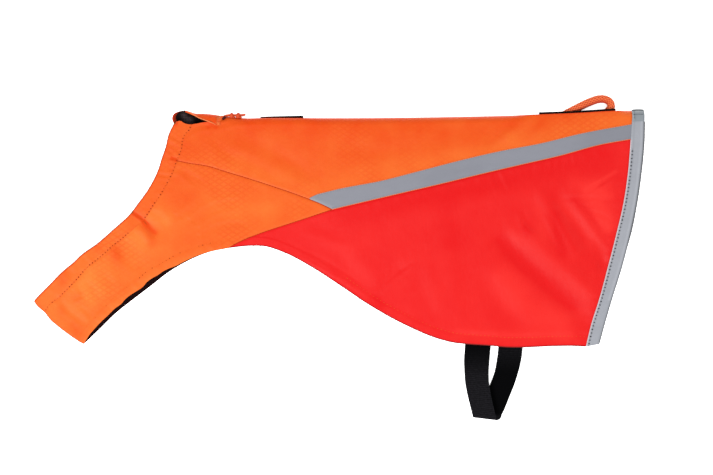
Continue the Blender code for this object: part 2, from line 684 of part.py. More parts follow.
def tube(name, route, radius, made_of):
    """A round cord along a route, as a curve with filled ends."""
    curve = bpy.data.curves.new(name, "CURVE")
    curve.dimensions = "3D"
    curve.bevel_depth = radius * MM
    curve.bevel_resolution = 2
    curve.use_fill_caps = True
    spline = curve.splines.new("POLY")
    spline.points.add(len(route) - 1)
    for point, place in zip(spline.points, route):
        point.co = (*world(place), 1.0)
    return add(name, curve, made_of)


def cord_route():
    """The drawcord's middle: over the roll beside the nape, then along the ridge on the surface."""
    proud = CORD_RADIUS + 2 * GAP
    on_back = [near_point(x, y, -proud) for x, y in CORD_ON_BACK]
    return along(tuple(on_back) + CORD_FREE, CORD_POINTS)


def make_knot(name, route, share, outer_radius, length, made_of):
    """A ring round the cord, as thick as its knot."""
    step = share * (len(route) - 1)
    index = int(step)
    middle = route[index] + (route[index + 1] - route[index]) * (step - index)
    axis = (route[index + 1] - route[index]) / np.linalg.norm(route[index + 1] - route[index])
    side = np.cross(axis, (0.0, 0.0, 1.0))
    side /= np.linalg.norm(side)
    up = np.cross(side, axis)
    inner_radius = CORD_RADIUS + KNOT_CLEAR
    mean = (outer_radius + inner_radius) / 2
    thick = (outer_radius - inner_radius) / 2
    around, section = KNOT_CELLS
    points, faces = [], []
    for i in range(around):
        angle = math.tau * i / around
        out = side * math.cos(angle) + up * math.sin(angle)
        for j in range(section):
            turn = math.tau * j / section
            away = out * (mean + thick * math.cos(turn))
            points.append(middle + away + axis * length / 2 * math.sin(turn))
    for i in range(around):
        for j in range(section):
            here = i * section
            there = (i + 1) % around * section
            next_j = (j + 1) % section
            faces.append((here + j, there + j, there + next_j, here + next_j))
    solid(name, points, faces, made_of, smooth=True)


def make_cords(rope_orange, orange):
    tube("rope_loop", along(ROPE_ROUTE, ROPE_POINTS), ROPE_RADIUS, rope_orange)
    route = cord_route()
    tube("drawcord", route, CORD_RADIUS, orange)
    for name, share, outer_radius, length in KNOTS:
        make_knot(name, route, share, outer_radius, length, orange)


def main():
    for thing in list(bpy.data.objects):
        bpy.data.objects.remove(thing, do_unlink=True)
    orange = material("orange ripstop", ORANGE, 0.55)
    red = material("red shell cloth", RED, 0.5)
    tape = material("grey reflective tape", GREY, 0.35, 0.3)
    dark_tape = material("darker tape join", DARK_GREY, 0.45, 0.2)
    black = material("black webbing", BLACK, 0.7)
    lining = material("dark lining", LINING, 0.85)
    rope_orange = material("orange rope", ROPE_ORANGE, 0.7)
    seam = seams()
    make_chest(seam, orange, lining)
    make_casing(seam, orange)
    make_nape(orange, lining)
    make_back(seam, orange, tape)
    make_sides(seam, red)
    make_binding(tape, dark_tape)
    make_slit_tapes(black)
    make_strap(black)
    make_cords(rope_orange, orange)


main()
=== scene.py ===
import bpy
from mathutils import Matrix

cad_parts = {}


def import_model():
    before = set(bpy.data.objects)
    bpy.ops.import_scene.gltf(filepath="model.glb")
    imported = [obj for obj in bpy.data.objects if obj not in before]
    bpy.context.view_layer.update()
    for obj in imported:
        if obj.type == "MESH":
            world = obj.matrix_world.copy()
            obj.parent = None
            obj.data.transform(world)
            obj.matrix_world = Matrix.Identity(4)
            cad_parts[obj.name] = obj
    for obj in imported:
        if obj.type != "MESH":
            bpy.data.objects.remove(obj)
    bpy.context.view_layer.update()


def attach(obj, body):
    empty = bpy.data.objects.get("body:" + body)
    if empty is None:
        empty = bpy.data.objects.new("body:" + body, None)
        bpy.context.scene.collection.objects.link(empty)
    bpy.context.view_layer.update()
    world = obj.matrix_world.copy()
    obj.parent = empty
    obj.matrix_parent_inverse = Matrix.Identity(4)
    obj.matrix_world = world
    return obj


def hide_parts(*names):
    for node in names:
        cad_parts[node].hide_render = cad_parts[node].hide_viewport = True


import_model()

# The looks of a dog protective vest that lies flat on its right side: a thin shell of each piece of
# cloth with its creases, then the tapes, strap, rope, cord and threads, and the studio around them.
# Lengths are in millimetres of the plan, whose middle is PLAN_CENTRE, until `world` turns them to metres.

import math

import bmesh
import bpy
import numpy as np
from mathutils import Vector

MM = 0.001
PLAN_CENTRE = (324.57, 165.83)
BODY = "root"


def spots(text):
    """Places from plain text: x,y x,y or with more numbers each."""
    return tuple(tuple(float(number) for number in spot.split(",")) for spot in text.split())


def soft_lines(text):
    """Rows of two numbers and a curve, from plain text."""
    rows = [line.split() for line in text.strip().splitlines()]
    return tuple((float(first), float(second), spots(" ".join(curve))) for first, second, *curve in rows)


# ---------------------------------------------------------------- sizes and seams, as in the CAD
CLOTH = 1.2
CASING = 1.8
CASING_PROUD = 0.3
GAP = 0.3
FLOOR_TOP = CLOTH + GAP
FOOT = CASING + GAP
ROLL = 8.0
CHEST_ROLL = 4.0
CURVE_STEPS = 40

BAND_CELLS = 20
SHOULDER_CELLS = 17
STRIPE_START_CELL = 14
FLANK_CELLS = 34
CASING_BACK_CELLS = 4
MOUTH_CELLS = 4
NAPE_CELLS = 7
FAR_CASING_CELLS = 9
CHEST_ROWS = 9
CASING_ROWS = 4
BINDING_TOP_ROWS = 2
RIDGE_STEPS = 240

NECK_EDGE = spots("""
    0.4,127 6.7,133.8 16.4,143.5 33.7,160.8 42.6,167.9 50,175.2 68,188.2 84.5,202.6 103.5,220.4
    109.6,228.4 122.6,246.5 132.3,265.4 136.5,278.7""")
NAPE_EDGE = spots("136.5,278.7 140.8,291 143.6,303 149.7,315.7")
NAPE_EDGE_FAR = spots("136.5,278.7 140.8,291 143.6,303 149,314.5 147,321 148.8,325.6 153.5,328 160.5,329.5")
CASING_STITCH = spots("""
    12.5,114.3 15.3,119.3 30.9,133.4 46.1,148.9 60.2,164.5 68.7,170.8 77.2,178.2 85,185.3 92.7,191.2
    101.2,198.6 109,205.8 117.1,212.5 124,221.8 129.2,230.2 135.4,238.7 140.6,248 145.8,257.1 150,266.6
    153.2,275.7""")
CASING_TO_BACK = spots("153.2,275.7 156.2,283 158.6,289.5 159.3,297 162,303.5 166.4,308 168.5,314.2")
CASING_TO_BACK_FAR = spots("153.2,275.7 156.2,283 158.6,289.5 159.6,297.5 162,305 166.6,316 170.5,326")
CASING_END = spots("149.7,315.7 153.9,317.7 156.5,318 160,315.9 162.5,314.9 168.5,314.2")
CASING_END_FAR = spots("160.5,329.5 164,328.4 167.5,327.2 170.5,326")
MOUTH_EDGE = spots("168.5,314.2 175.3,315.4 179.6,316.3 184,316.9")
CHEST_FOLD = spots("53.6,81.4 50.6,82.8 38.6,90.7 27,99.4 17.2,108 12.5,114.3")
CASING_FOLD = spots("0.4,127 2.5,123.8 12.5,114.3")
LEG_EDGE = spots("53.6,81.4 59.5,91 70.5,104.5 98.5,131.5 124,151 149.5,165 179,177 206.5,183.2")
LEG_EDGE_FAR = spots("""
    53.6,81.4 71.1,98.3 86.7,113.6 105.7,128.7 124.7,143.2 143.6,157.8 162.3,168.9 185.5,178.7
    206.5,183.2""")
SHOULDER_SEAM = spots("""
    153.2,275.7 168.5,272.6 179.1,271.2 189.7,268.9 200.3,265.4 222.3,258.8 258.2,247.2 293.2,234.7""")
STRIPE_START_SEAM = spots("293.2,234.7 305.4,229.7 317.1,224")
FLANK_FRONT_SEAM = spots("206.5,183.2 220,190.3 240.9,198.9 262.1,206 283.2,212.8 304.2,219.8 317.1,224")
FLANK_SEAM = spots("""
    317.1,224 346.5,231 389.1,241 431.5,250.9 474.2,261.3 516.1,271.1 558.5,280.9 600.9,292.4 633,298.2""")
FLANK_HEM = spots("""
    206.5,183.2 230,185.6 245,185.2 268,177.7 293.5,164.2 325.5,143.6 356.8,122.6 395.2,101.4 433.3,85.9
    446,82.9 459,81.5 486,79.6 500,78.2 519,77.9 552,79.2 572,79.4 586.1,78.7""")
STRIPE_TOP = spots("""
    301.2,240.2 325.5,246.1 368.1,254.2 410.1,264.9 452.5,275.9 495,285.8 537.6,293.9 580,304.2
    634.4,314.3""")
BINDING_INNER = spots("""
    633,298.2 630.4,264.2 625.5,230.2 617.7,196.2 609.1,162.1 600,128.5 591.7,101.8 586.1,78.7""")
BINDING_INNER_TOP = (634.6, 329)
BINDING_INNER_LOW_JOIN = (634.4, 319.4)
BINDING_OUTER = spots("""
    647.6,319.7 647.3,298 644.4,264.2 639.7,230.2 632.8,196.3 624.1,162.1 613.7,128.4 604.2,95
    600.6,81.4""")
RIDGE = spots("""
    160.5,329.5 165.5,328.4 170.5,326.5 179,326.2 187.5,325.5 195,324.5 201.5,323.4 209,322.7 216,321.8
    224.5,321.2 246,321.5 286,321.4 360,321.5 400,321.9 431.5,322.4 459,322.9 495,323.7 537.5,325
    580,326.7 617,328.8 635,329.1 660,329.2""")
NAPE_RIM = spots("161.5,328.2 165.5,326.6 170,324.6 176,322 181,319.9 186,318.4")
BACK_RIDGE_START = 204.5
NAPE_CORNER_X = 190
STRIPE_CLEAR = 0.6
STRIPE_TIP = 1.2
STRIPE_ROWS_AT_CASING = (0.1, 0.2)

# Room between the two halves: x, y, room. From the nape over the ridge, back, flank, leg arch, strap, hem,
# shoulder, chest and band to the mouth.
ROOM_SPOTS = spots("""
    204.5,314,6.5 286,312.5,8.5 389,312.5,9.5 495,315,10.2 570,317,10.6 640,320,10.4 283,276.5,5.4
    389,282,7.2 495,287.5,8.2 622,287.5,8.4 336,192,2.6 389,234.5,5 495,245,6.2 622,245,6.4
    442,170.5,3.4 605,181.5,3.8 230,185.5,1.5 293.5,164.5,0.6 380,110,0.5 471.5,80.5,2.4 471.5,97,2.5
    507,78.5,2.4 507,97,2.5 555,80,1 601,82.5,1.3 153.5,276.5,5.2 198,234.5,3.2 177,178,1.8
    98.5,131.5,1.8 54,82.5,2 124,223.5,3.2 71,186.5,2.8 0,126,2.8 60.5,139,2.8 149.5,316,7.2""")
LEAST_ROOM = 0.25
ROOM_SCALE = 100.0

# Soft folds of the left half: from x, from y, to x, to y, half-width, height.
FOLDS = spots("""
    497,190,583,109,11,-1.5 524,199,595,136,10,1.1 560,232,603,168,9,-1.3 540,238,574,178,8,1
    486,297,508,312,8,-0.8 506,298,528,314,8,0.7 236,282,282,266,12,-0.7 107,219,130,203,8,-0.9
    100,186,112,168,10,-0.7 27,128,48,102,9,-0.6 366,130,388,158,9,-0.6""")

# Slits in the back's edge: lifted from x, to x, front ramp, rear ramp, share of the roll's height.
SLITS = spots("240,289,22,16,0.34 532,619,26,13,1")

# The strap's near leg and far leg: front edge x, y, rear edge x, y, height of the middle.
STRAP_NEAR = spots("""
    459,95.5,486.3,95,2.25 458.5,86,485.8,85.5,2.25 457.7,76.5,484.9,75.5,2.7 456.9,65,483.9,63.5,4.2
    457.1,54,483.1,52.5,5.9 457.9,42,483.4,40.5,7.1 459.9,30,485.2,28.5,7.5 462.9,17.5,488,15.5,7.5
    466,5.2,491.2,2.2,7.4""")
STRAP_FAR = spots("""
    471.8,8.6,497,5.8,0.8 475,17.5,500.4,13,0.8 479.9,28.2,504.6,23.6,0.8 485.1,39.6,510,37,0.8
    489.6,53,514.9,52.2,0.8 492,66,517.9,65.4,1 493.3,77,519,76.5,2.25 493.8,86,519.3,85.5,2.25
    494,95.5,519.5,95,2.25""")
STRAP_BULGE = (0.5, -1.9, 0.0)

# Cords: x, y, height of the middle.
ROPE_RADIUS = 4.0
ROPE_ROUTE = spots("""
    553.5,317.5,5.6 558.5,321.5,5.6 564.5,325.3,5.6 571,328.8,5.4 578,332.3,4.8 585,335.8,4.3
    592.5,339,4.1 600,341.2,4.1 606.8,340.9,4.1 611.6,338,4.3 612.9,333.8,4.8 610.6,329.4,5.4
    606.9,325.6,5.6 602.6,321.8,5.6 598,317.8,5.6""")
CORD_RADIUS = 1.3
CORD_ON_BACK = ((196, 317.2), (199, 319.0))
CORD_FREE = spots("""
    202.8,322.7,8.3 206.6,324,5.6 210.6,324.3,4.2 214.8,324.2,4.1 219,324.2,4 222.4,324.5,3
    225.2,325,1.9""")

# ---------------------------------------------------------------- sizes of the looks
DETAIL = 6            # cells of a shell for each cell of the solid
SHELL = 0.7           # thickness of the cloth that shows
ROLL_CELLS = 14
CREASE_POINTS = 14
SEAM_POINTS = 40
AWAY_FROM_LIGHT = np.array((0.55, 0.83))
HEM_STEP = 1.6

# The near leg edge as it is seen, with its small waves.
LEG_EDGE_SEEN = spots("""
    53.6,81.4 59.5,91 65.7,98.4 72.4,105.5 79,111.6 86.1,118.7 94.1,124.8 97,128.3 103.7,133.9 110.3,138
    116,141.9 120.7,147.2 126.5,151.5 132.1,154.5 137.8,158.6 143.5,161.4 151.1,164.3 159.1,168.5
    179,177 206.5,183.2""")
SHOULDER_TO_STRIPE = SHOULDER_SEAM + STRIPE_START_SEAM[1:]
CASING_INNER_SEAM = CASING_STITCH + CASING_TO_BACK[1:]

# Creases too fine for the solids, by piece: half-width, slope, curve. Across its curve the cloth rises to
# one side and falls back: where the slope is positive it rises away from the front left, where the key
# light is, and shows bright.
CREASES = {
    "side": soft_lines("""
11 -0.05 493,196 514,172 537,152 558,136 584,110
14 0.085 473.8,168.5 491.8,144.2 513,115.5 532.1,96.5
4.2 -0.2 515.2,223.7 523.6,206.7 537.4,198.2
4.5 -0.23 543.8,221.5 554.4,200.3 565,177
6.5 0.05 562,232 581.9,208.8 600,182
5 -0.13 574,234 590.4,214 606,190
6 -0.14 590.4,196.1 600,174.9 597.8,147.3
2.4 0.42 585,244 601,254 617,264.4
2.2 -0.3 588,240 604,251 618,260
2.2 0.2 558.6,238 588.3,239 614.8,236.4
2.4 -0.14 560.7,233.2 588.3,234.3 611.6,231.1
2 0.18 583,226.8 601,234.3 614.8,236.4
2.2 -0.2 590.4,219.4 604.2,216.2 615.9,206.7
2.2 0.18 588.3,224.7 603.1,220.5 615.9,212
3 0.24 491.8,269.2 497.1,255.5 504.6,241.7
2.6 -0.2 484.4,267.1 488.7,253.3 495,240.6
1.8 -0.24 550.7,282 549.1,259.7
1.8 0.26 543.8,280.9 541.7,260.8
1.8 0.24 559.7,283 561.8,261.8
1.8 -0.22 567.1,284.1 569.2,268.2
1.8 0.2 532.1,276.7 531.1,259.7
3 -0.24 365.7,135.7 380.5,150.5 404.9,168.5
3.5 0.1 359.3,141 374.2,157.9 391.1,172.8
1.5 0.3 364.6,120.8 366.2,131.4
16 -0.085 367.8,221.5 442,239.6 516.2,255.5 574.5,268.2
12 -0.05 439.9,223.7 448.4,176 454.7,128.3 463.2,101.8
12 0.06 325.4,194 338.1,168.5 363.6,143.1
10 0.06 410.2,168.5 418.7,138.9 431.4,109.2
8 -0.05 283,207.8 314.8,196.1 338.1,185.5
2.4 0.14 278.8,174.9 314.8,154.8 353,131.4
2.4 -0.12 289.4,179.1 321.2,161.1 353,139.9
4 0.13 439.9,95.4 495,91.2 574.5,91.2
9 -0.05 570,172 588,148 600,128
6 0.04 495,218.4 507.7,196 516.2,180
"""),
    "back": soft_lines("""
5.5 -0.16 480.2,291.5 498.2,306.3 513,319.1
5 0.15 497.1,293.6 509.9,305.3 526.8,320.1
5 -0.18 522.6,297.9 534.2,310.6 545.9,323.3
4.5 0.13 537.4,297.9 549.1,311.6 558.6,323.3
3 0.11 571.3,301 574.5,310.6 576.6,321.2
10 -0.06 283,311.6 357.2,313.8 442,309.5
9 -0.09 206.7,298.9 242.7,286.2 272.4,270.3 302.1,248
7 0.07 191.9,293.6 230,277.7 261.8,259.7 287.3,244.9
6 -0.08 184.4,302.1 198.2,284.1 219.4,268.2
5 -0.09 291.5,276.7 300,262.9 302.1,247
2.4 0.22 162.2,306.3 173.8,313.8 190.8,315.9
2.4 -0.18 163.2,301 176,308.5 190.8,309.5
9 0.06 330.7,295.7 369.9,290.4 410.2,297.9
9 -0.05 410.2,285.1 439.9,294.7 463.2,312.7
5 0.07 588.3,311.6 603.1,318 622.2,322.2
5 -0.07 583,318 598.9,323.3 618,326.5
3 -0.13 172.8,312.2 191.9,310.6 215.2,314.8 242.7,316.9
"""),
    "chest": soft_lines("""
3.2 0.178 159,188 166,211 183,227 224,238
3.2 -0.134 165,186 172,206 190,219 226,229
3 0.167 173,188 181,201 207,211 230,211
3.4 0.147 147,196 154,217 171,231
2 -0.6 112,215.5 118.7,210.5 123,206.5
5.5 -0.25 116,209 121.5,202 126,192
5.5 0.12 124,227 139,217 147,205
4.5 0.08 108,205 116,196 120,185
3.5 -0.121 154,266 162,258 173,249
3.5 0.121 160,270 170,262 184,254
5 -0.143 84,186 92,175 96,164
4 -0.143 99,169 106,158
2.6 -0.219 41,145 50,132 43,126
3.6 -0.198 26,128 33,118 46,107 56,99
3.2 -0.201 48,120 60,109 54,92
5 0.114 54,152 67,141 71,128
5 0.099 74,160 84,150 88,138
"""),
    "casing": soft_lines("""
3.5 -0.204 29,164 39,151
3 0.191 37,166 45,156
2.6 -0.219 13,150 22,137
2.4 0.209 52,178 60,168
1.8 -0.8 103.5,222 111,216.8 118.5,211.3
1.6 -0.5 145.5,278.6 150,277.4 154,275.6
1.8 -0.3 128,260 143,258 152,258
1.8 0.3 128,264 141,262 150,262
1.7 -0.3 133,280 147,277 158,277
2.6 -0.219 141,303 154,296
2.6 0.192 142,297 157,290
2.2 -0.195 138,288 149,281
2.4 0.178 86,205 94,197
"""),
    "facing": soft_lines("""
2.2 0.9 157.5,326 157.2,320.5 160,315
1.8 -0.6 163,324.5 166,319 170,315
"""),
}

# Painted light and shade: how light each piece's cloth is painted, from 0 to 1, where nothing changes it.
BASE_PAINTED_SHADING = {"back": 0.24, "nape": 0.12, "chest": 0.42, "casing": 0.36, "facing": 0.02, "stripe": 0.36,
              "join": 0.5, "binding": 0.45, "side": 0.24}
MIDDLE_TONE = 0.5
TONE_RANGE = (-3.0, 1.0)
# Soft patches and lines of painted light and shade, by piece: change, reach, curve. Rows far below 0 paint
# shade along edges.
SHADES = {
    "back": soft_lines("""
-0.16 12 219.4,316.9 262,315.6 304.2,314.8
-0.06 12 320,314.8 410.2,314.8 558.6,320.1
-1.3 1.4 181,317 186,317.6 190.5,316.4
-0.5 1.5 186,311.5 190.5,313.6 194,311
0.26 16 192.9,270.3 242.7,261.8 289.4,242.7
0.26 14 314.8,249.1 389,265 473.8,283 558.6,301 630.7,314.8
-0.05 14 367.8,297.9 431.4,303.2 463.2,300
-0.12 7 482.3,293.6 513,318
-0.12 6 522.6,297.9 545.9,322.2
0.12 6 503.5,297.9 528.9,321.2
0.12 9 601,321.2 630.7,325.4
-0.08 10 192.9,303.2 210.9,287.3
""") + (
        (-0.9, 0.9, RIDGE[3:-1]),
    ),
    "chest": soft_lines("""
0.36 42 30.7,128.3 76.3,168.5 100.7,191.9
0.2 8 49.8,141 62.5,151.6 71,138.9
-0.3 7 36,154.8 35,152.6
-0.28 7 22.3,134.6 23.3,132.5
-0.26 6 29.7,118.7 30.7,115.5
-0.24 6 47.7,133.6 46.6,130.4
-0.26 7 43.5,100.7 45.6,97.5
-0.34 9 84.8,181.3 90.1,168.5
-1.2 1.3 112.5,215.2 116,212.8 121,208.4
-0.5 3.4 114,213.5 121,208 129,200
-0.35 6 117.5,206.5 122,199.5 125.5,190
0.22 9 126.1,221 140,213
0.14 9 106.5,197 117,187
0.25 6 58.5,131.5 63,126
-0.22 6 36,154.8 38,153
-0.2 5 88.4,176 89.5,174.5
-0.15 14 153.7,249.1 162.2,238.5
0.22 12 192.9,229 219.4,221.5 242.7,223.7
""") + (
        (-2.3, 0.6, CHEST_FOLD),
        (0.16, 4, LEG_EDGE),
    ),
    "casing": soft_lines("""
0.3 40 18,138.9 71,191.9
-0.26 6 28.6,157.9 31.8,149.5
-0.22 5 63.6,189.7 68.9,183.4
-1.3 1.1 104.3,221.4 111,216.8 117.5,212
-0.35 3 104.3,221.4 111,216.8 117.5,212
-1.2 1 146.8,278.3 150,277.4 153,276
-1.9 2.1 151,316 149.7,321.6 151.8,325.6 155.6,327.9 161.3,328.9
-0.12 8 139.9,287.3 150.5,268.2
""") + (
        (-2.8, 0.9, NECK_EDGE + NAPE_EDGE[1:]),
        (-2.0, 0.7, CASING_FOLD),
    ),
    # Painted highlight on a fold inside the dark mouth.
    "facing": soft_lines("""
0.8 3 159.8,323.8 161.5,320 165,318.3
0.35 2.2 167,320.3 168.8,317
"""),
    "stripe": soft_lines("""
-0.55 20 600,298 630,305
-0.25 9 420,258 470,269
"""),
    "join": soft_lines("""
-2.6 1.1 634,329.2 641,329.2 648,329.2
-0.9 0.75 637.6,328.5 637.6,319.5
-0.35 3 634,326.6 648,326.6
0.6 1.5 635.4,327.5 635.2,319.5
-2 0.9 647.6,329 647.6,319.7
"""),
    "binding": soft_lines("""
-0.35 0.9 637.4,330 636,297.5 634,264 628.4,230
""") + (
        (0.6, 1.7, BINDING_INNER),
        (-3.0, 1.35, BINDING_OUTER),
        (0.5, 1.3, tuple((x - 2.9, y) for x, y in BINDING_OUTER[:7])),
    ),
    "side": soft_lines("""
0.8 12 594,239 600,226 606,212
-0.25 5 363,131.5 368,122
-0.3 16 338.1,221.5 431.4,244.9 516.2,263.9 601,280.9
-0.2 14 439.9,221.5 444.1,191.9
0.55 16 500.3,149.5 526.8,117.7 558.6,104.9
-0.5 8 497,191 516.2,169 542.7,147 572,124
0.16 10 511,197 537.4,181 560.7,160 583,134
0.2 7 561,231 581.9,208.8 598.9,187
0.25 6 535.3,223.7 541,194
-0.35 5 520,204 523,199
-0.3 6 554.4,218.4 560.7,178.1
0.5 1.9 586.2,244.9 601,254.5 616.9,264.2
-0.3 2.2 589,241 604.2,251
0.35 3.5 596,240.6 613.7,238.5
0.35 3.5 597.8,220.5 610.6,202.5
-0.3 3.5 572.4,234.3 588,223 601,204.6
0.3 9 573.5,251.2 605.3,247
0.35 6 452.6,93.3 569.2,90.1
0.15 14 330.7,181.3 338.1,162.2
""") + (
        (-2.6, 1.1, FLANK_HEM),
    ),
}

# Where a seam pulls the cloth down, by piece: half-width, depth, curve.
SEAM_DIPS = {
    "chest": ((1.7, 0.24, CASING_STITCH), (1.5, 0.45, SHOULDER_TO_STRIPE), (1.3, 0.35, FLANK_FRONT_SEAM)),
    "casing": ((1.7, 0.24, CASING_INNER_SEAM),),
    "back": ((1.7, 0.24, CASING_TO_BACK), (1.5, 0.45, SHOULDER_TO_STRIPE),
             (1.4, 0.3, (BINDING_INNER_TOP, BINDING_INNER[0]))),
    "side": ((1.3, 0.35, FLANK_FRONT_SEAM), (1.6, 0.45, FLANK_SEAM), (1.4, 0.3, BINDING_INNER)),
}
# Where a turned hem makes it thicker, by piece: width, height, curve.
HEM_BANDS = {"side": ((10.2, 0.32, FLANK_HEM),), "chest": ((8.6, 0.3, LEG_EDGE),)}
# Puckers, by piece: spacing, length, half-width, height, 1 left of the curve or -1 right of it, curve.
PUCKERS = {
    "chest": ((4.6, 5.0, 1.6, 0.20, -1, CASING_STITCH), (6.5, 6.0, 1.7, 0.18, -1, SHOULDER_SEAM),
              (4.8, 5.5, 1.7, 0.20, 1, LEG_EDGE)),
    "casing": ((4.6, 5.0, 1.6, 0.22, 1, CASING_INNER_SEAM),),
    "back": ((5.0, 5.0, 1.6, 0.20, -1, CASING_TO_BACK), (6.5, 6.0, 1.7, 0.18, 1, SHOULDER_SEAM)),
    "side": ((8.0, 8.0, 1.9, 0.22, -1, FLANK_SEAM), (6.0, 8.0, 1.9, 0.26, -1, BINDING_INNER),
             (6.5, 5.5, 1.7, 0.16, 1, FLANK_HEM)),
}
PUCKER_SEED = 11
PUCKER_POINTS = 200
PUCKER_PLACES = (0.1, 0.9)        # where in its share of the seam a pucker may lie
PUCKER_LEAN = 0.25
PUCKER_MIDDLE = 0.4
PUCKER_LENGTH = 0.7
PUCKER_REACHES = (0.6, 1.5)
PUCKER_RISES = (0.4, 1.5)
PUCKER_WAYS = (1.0, 1.0, -0.8)


# ---------------------------------------------------------------- curves and surfaces
def unit(vectors):
    return vectors / np.linalg.norm(vectors, axis=-1)[..., None]


def distances(line):
    """How far along a line each of its points is."""
    return np.concatenate([[0.0], np.cumsum(np.linalg.norm(np.diff(line, axis=0), axis=1))])


def line_length(line):
    return np.linalg.norm(np.diff(line, axis=0), axis=1).sum()


def blend(first, last, share):
    return first * (1 - share) + last * share


def along(points, count):
    """count + 1 points, evenly spaced on a smooth curve through the points."""
    points = np.array(points, float)
    chord = np.linalg.norm(np.diff(points, axis=0), axis=1)
    knots = distances(points)
    slope = np.gradient(points, knots, axis=0)
    fine = np.linspace(0.0, knots[-1], CURVE_STEPS * len(points))
    k = np.clip(np.searchsorted(knots, fine, side="right") - 1, 0, len(chord) - 1)
    span = chord[k][:, None]
    s = ((fine - knots[k]) / chord[k])[:, None]
    line = points[k] * (2 * s**3 - 3 * s**2 + 1) + points[k + 1] * (3 * s**2 - 2 * s**3)
    line += span * (slope[k] * (s**3 - 2 * s**2 + s) + slope[k + 1] * (s**3 - s**2))
    length = distances(line)
    wanted = np.linspace(0.0, length[-1], count + 1)
    return np.stack([np.interp(wanted, length, axis) for axis in line.T], axis=1)


def straight(start, end, count):
    """count + 1 points, evenly spaced on a straight line."""
    return blend(np.array(start), np.array(end), np.linspace(0.0, 1.0, count + 1)[:, None])


def joined(*curves):
    """Curves that follow each other, as one, with each meeting point once."""
    return np.concatenate([curves[0]] + [curve[1:] for curve in curves[1:]])


def beside(points, distance):
    """A curve moved to its left."""
    points = np.array(points, float)
    run = unit(np.gradient(points, axis=0))
    return points + np.stack([-run[:, 1], run[:, 0]], axis=1) * distance


RIDGE_LINE = along(RIDGE, RIDGE_STEPS)


def ridge(x):
    """Plan position of the back's outermost line."""
    return np.interp(x, RIDGE_LINE[:, 0], RIDGE_LINE[:, 1])


def ease(share):
    """A ramp from 0 to 1 with soft ends."""
    share = np.clip(share, 0.0, 1.0)
    return share * share * (3 - 2 * share)


def bell(distance, width):
    return np.exp(-((distance / width) ** 2))


def thin_plate(distance):
    """How far one spot's weight is felt."""
    return distance**2 * np.log(np.maximum(distance, 1e-9))


def fitted_room():
    """Weights of the smooth surface through ROOM_SPOTS."""
    table = np.array(ROOM_SPOTS)
    places = table[:, :2] / ROOM_SCALE
    count = len(places)
    plane = np.hstack([np.ones((count, 1)), places])
    system = np.zeros((count + 3, count + 3))
    system[:count, :count] = thin_plate(np.linalg.norm(places[:, None] - places[None], axis=2))
    system[:count, count:] = plane
    system[count:, :count] = plane.T
    return places, np.linalg.solve(system, np.concatenate([table[:, 2], np.zeros(3)]))


ROOM_PLACES, ROOM_WEIGHTS = fitted_room()


def outer_height(places):
    """Height of the left half's outer face over plan places."""
    scaled = places / ROOM_SCALE
    weights = thin_plate(np.linalg.norm(scaled[..., None, :] - ROOM_PLACES, axis=-1))
    room = weights @ ROOM_WEIGHTS[:-3] + ROOM_WEIGHTS[-3] + scaled @ ROOM_WEIGHTS[-2:]
    for from_x, from_y, to_x, to_y, half_width, crest in FOLDS:
        run = np.array((to_x, to_y)) - (from_x, from_y)
        start = (from_x, from_y)
        share = np.clip((places - start) @ run / (run @ run), 0.0, 1.0)
        away = np.linalg.norm(places - start - share[..., None] * run, axis=-1)
        room = room + crest * bell(away, half_width)
    return FLOOR_TOP + CLOTH + np.maximum(room, LEAST_ROOM)


def nearest_on(places, points, count=SEAM_POINTS):
    """How far plan places are from a curve, at which share of it, and 1 on the side away from the light."""
    curve = along(points, count)
    nearest = np.full(places.shape[:-1], np.inf)
    share_there = np.zeros(places.shape[:-1])
    side_there = np.zeros(places.shape[:-1])
    for i in range(count):
        run = curve[i + 1] - curve[i]
        share = np.clip((places - curve[i]) @ run / (run @ run), 0.0, 1.0)
        apart = places - curve[i] - share[..., None] * run
        away = np.linalg.norm(apart, axis=-1)
        left = np.array((-run[1], run[0]))
        side = np.sign(apart @ left) * np.sign(left @ AWAY_FROM_LIGHT)
        closer = away < nearest
        nearest = np.where(closer, away, nearest)
        share_there = np.where(closer, (i + share) / count, share_there)
        side_there = np.where(closer, side, side_there)
    return nearest, share_there, side_there


def pucker_height(places, spacing, length, half_width, crest, way, points):
    """Short uneven ridges square to a seam."""
    curve = along(points, PUCKER_POINTS)
    run = unit(np.gradient(curve, axis=0))
    count = int(line_length(curve) / spacing)
    draw = np.random.default_rng(PUCKER_SEED + count)
    height = np.zeros(places.shape[:-1])
    for i in range(count):
        index = int(np.clip((i + draw.uniform(*PUCKER_PLACES)) / count, 0, 0.999) * PUCKER_POINTS)
        lean = way * math.pi / 2 + draw.normal(0.0, PUCKER_LEAN)
        reach = length * draw.uniform(*PUCKER_REACHES)
        rise = crest * draw.uniform(*PUCKER_RISES) * draw.choice(PUCKER_WAYS)
        along_x = run[index][0] * math.cos(lean) - run[index][1] * math.sin(lean)
        along_y = run[index][0] * math.sin(lean) + run[index][1] * math.cos(lean)
        apart = places - curve[index] - np.array((along_x, along_y)) * reach * PUCKER_MIDDLE
        down = apart @ (along_x, along_y) / (reach * PUCKER_LENGTH)
        across = apart @ (-along_y, along_x) / half_width
        height += rise * np.exp(-(down**2) - across**2)
    return height


def crease_height(places, piece):
    """How far fine creases, seams, hems and puckers raise plan places on a piece."""
    height = np.zeros(places.shape[:-1])
    for half_width, slope, curve in CREASES.get(piece, ()):
        nearest, share, side = nearest_on(places, curve, CREASE_POINTS)
        fade = 1.0 - np.abs(2.0 * share - 1.0) ** 3
        height += slope * fade * side * nearest * bell(nearest, half_width)
    for half_width, depth, curve in SEAM_DIPS.get(piece, ()):
        height -= depth * bell(nearest_on(places, curve)[0], half_width)
    for width, rise, curve in HEM_BANDS.get(piece, ()):
        height += rise * ease((width - nearest_on(places, curve)[0]) / HEM_STEP)
    for pucker in PUCKERS.get(piece, ()):
        height += pucker_height(places, *pucker)
    return height


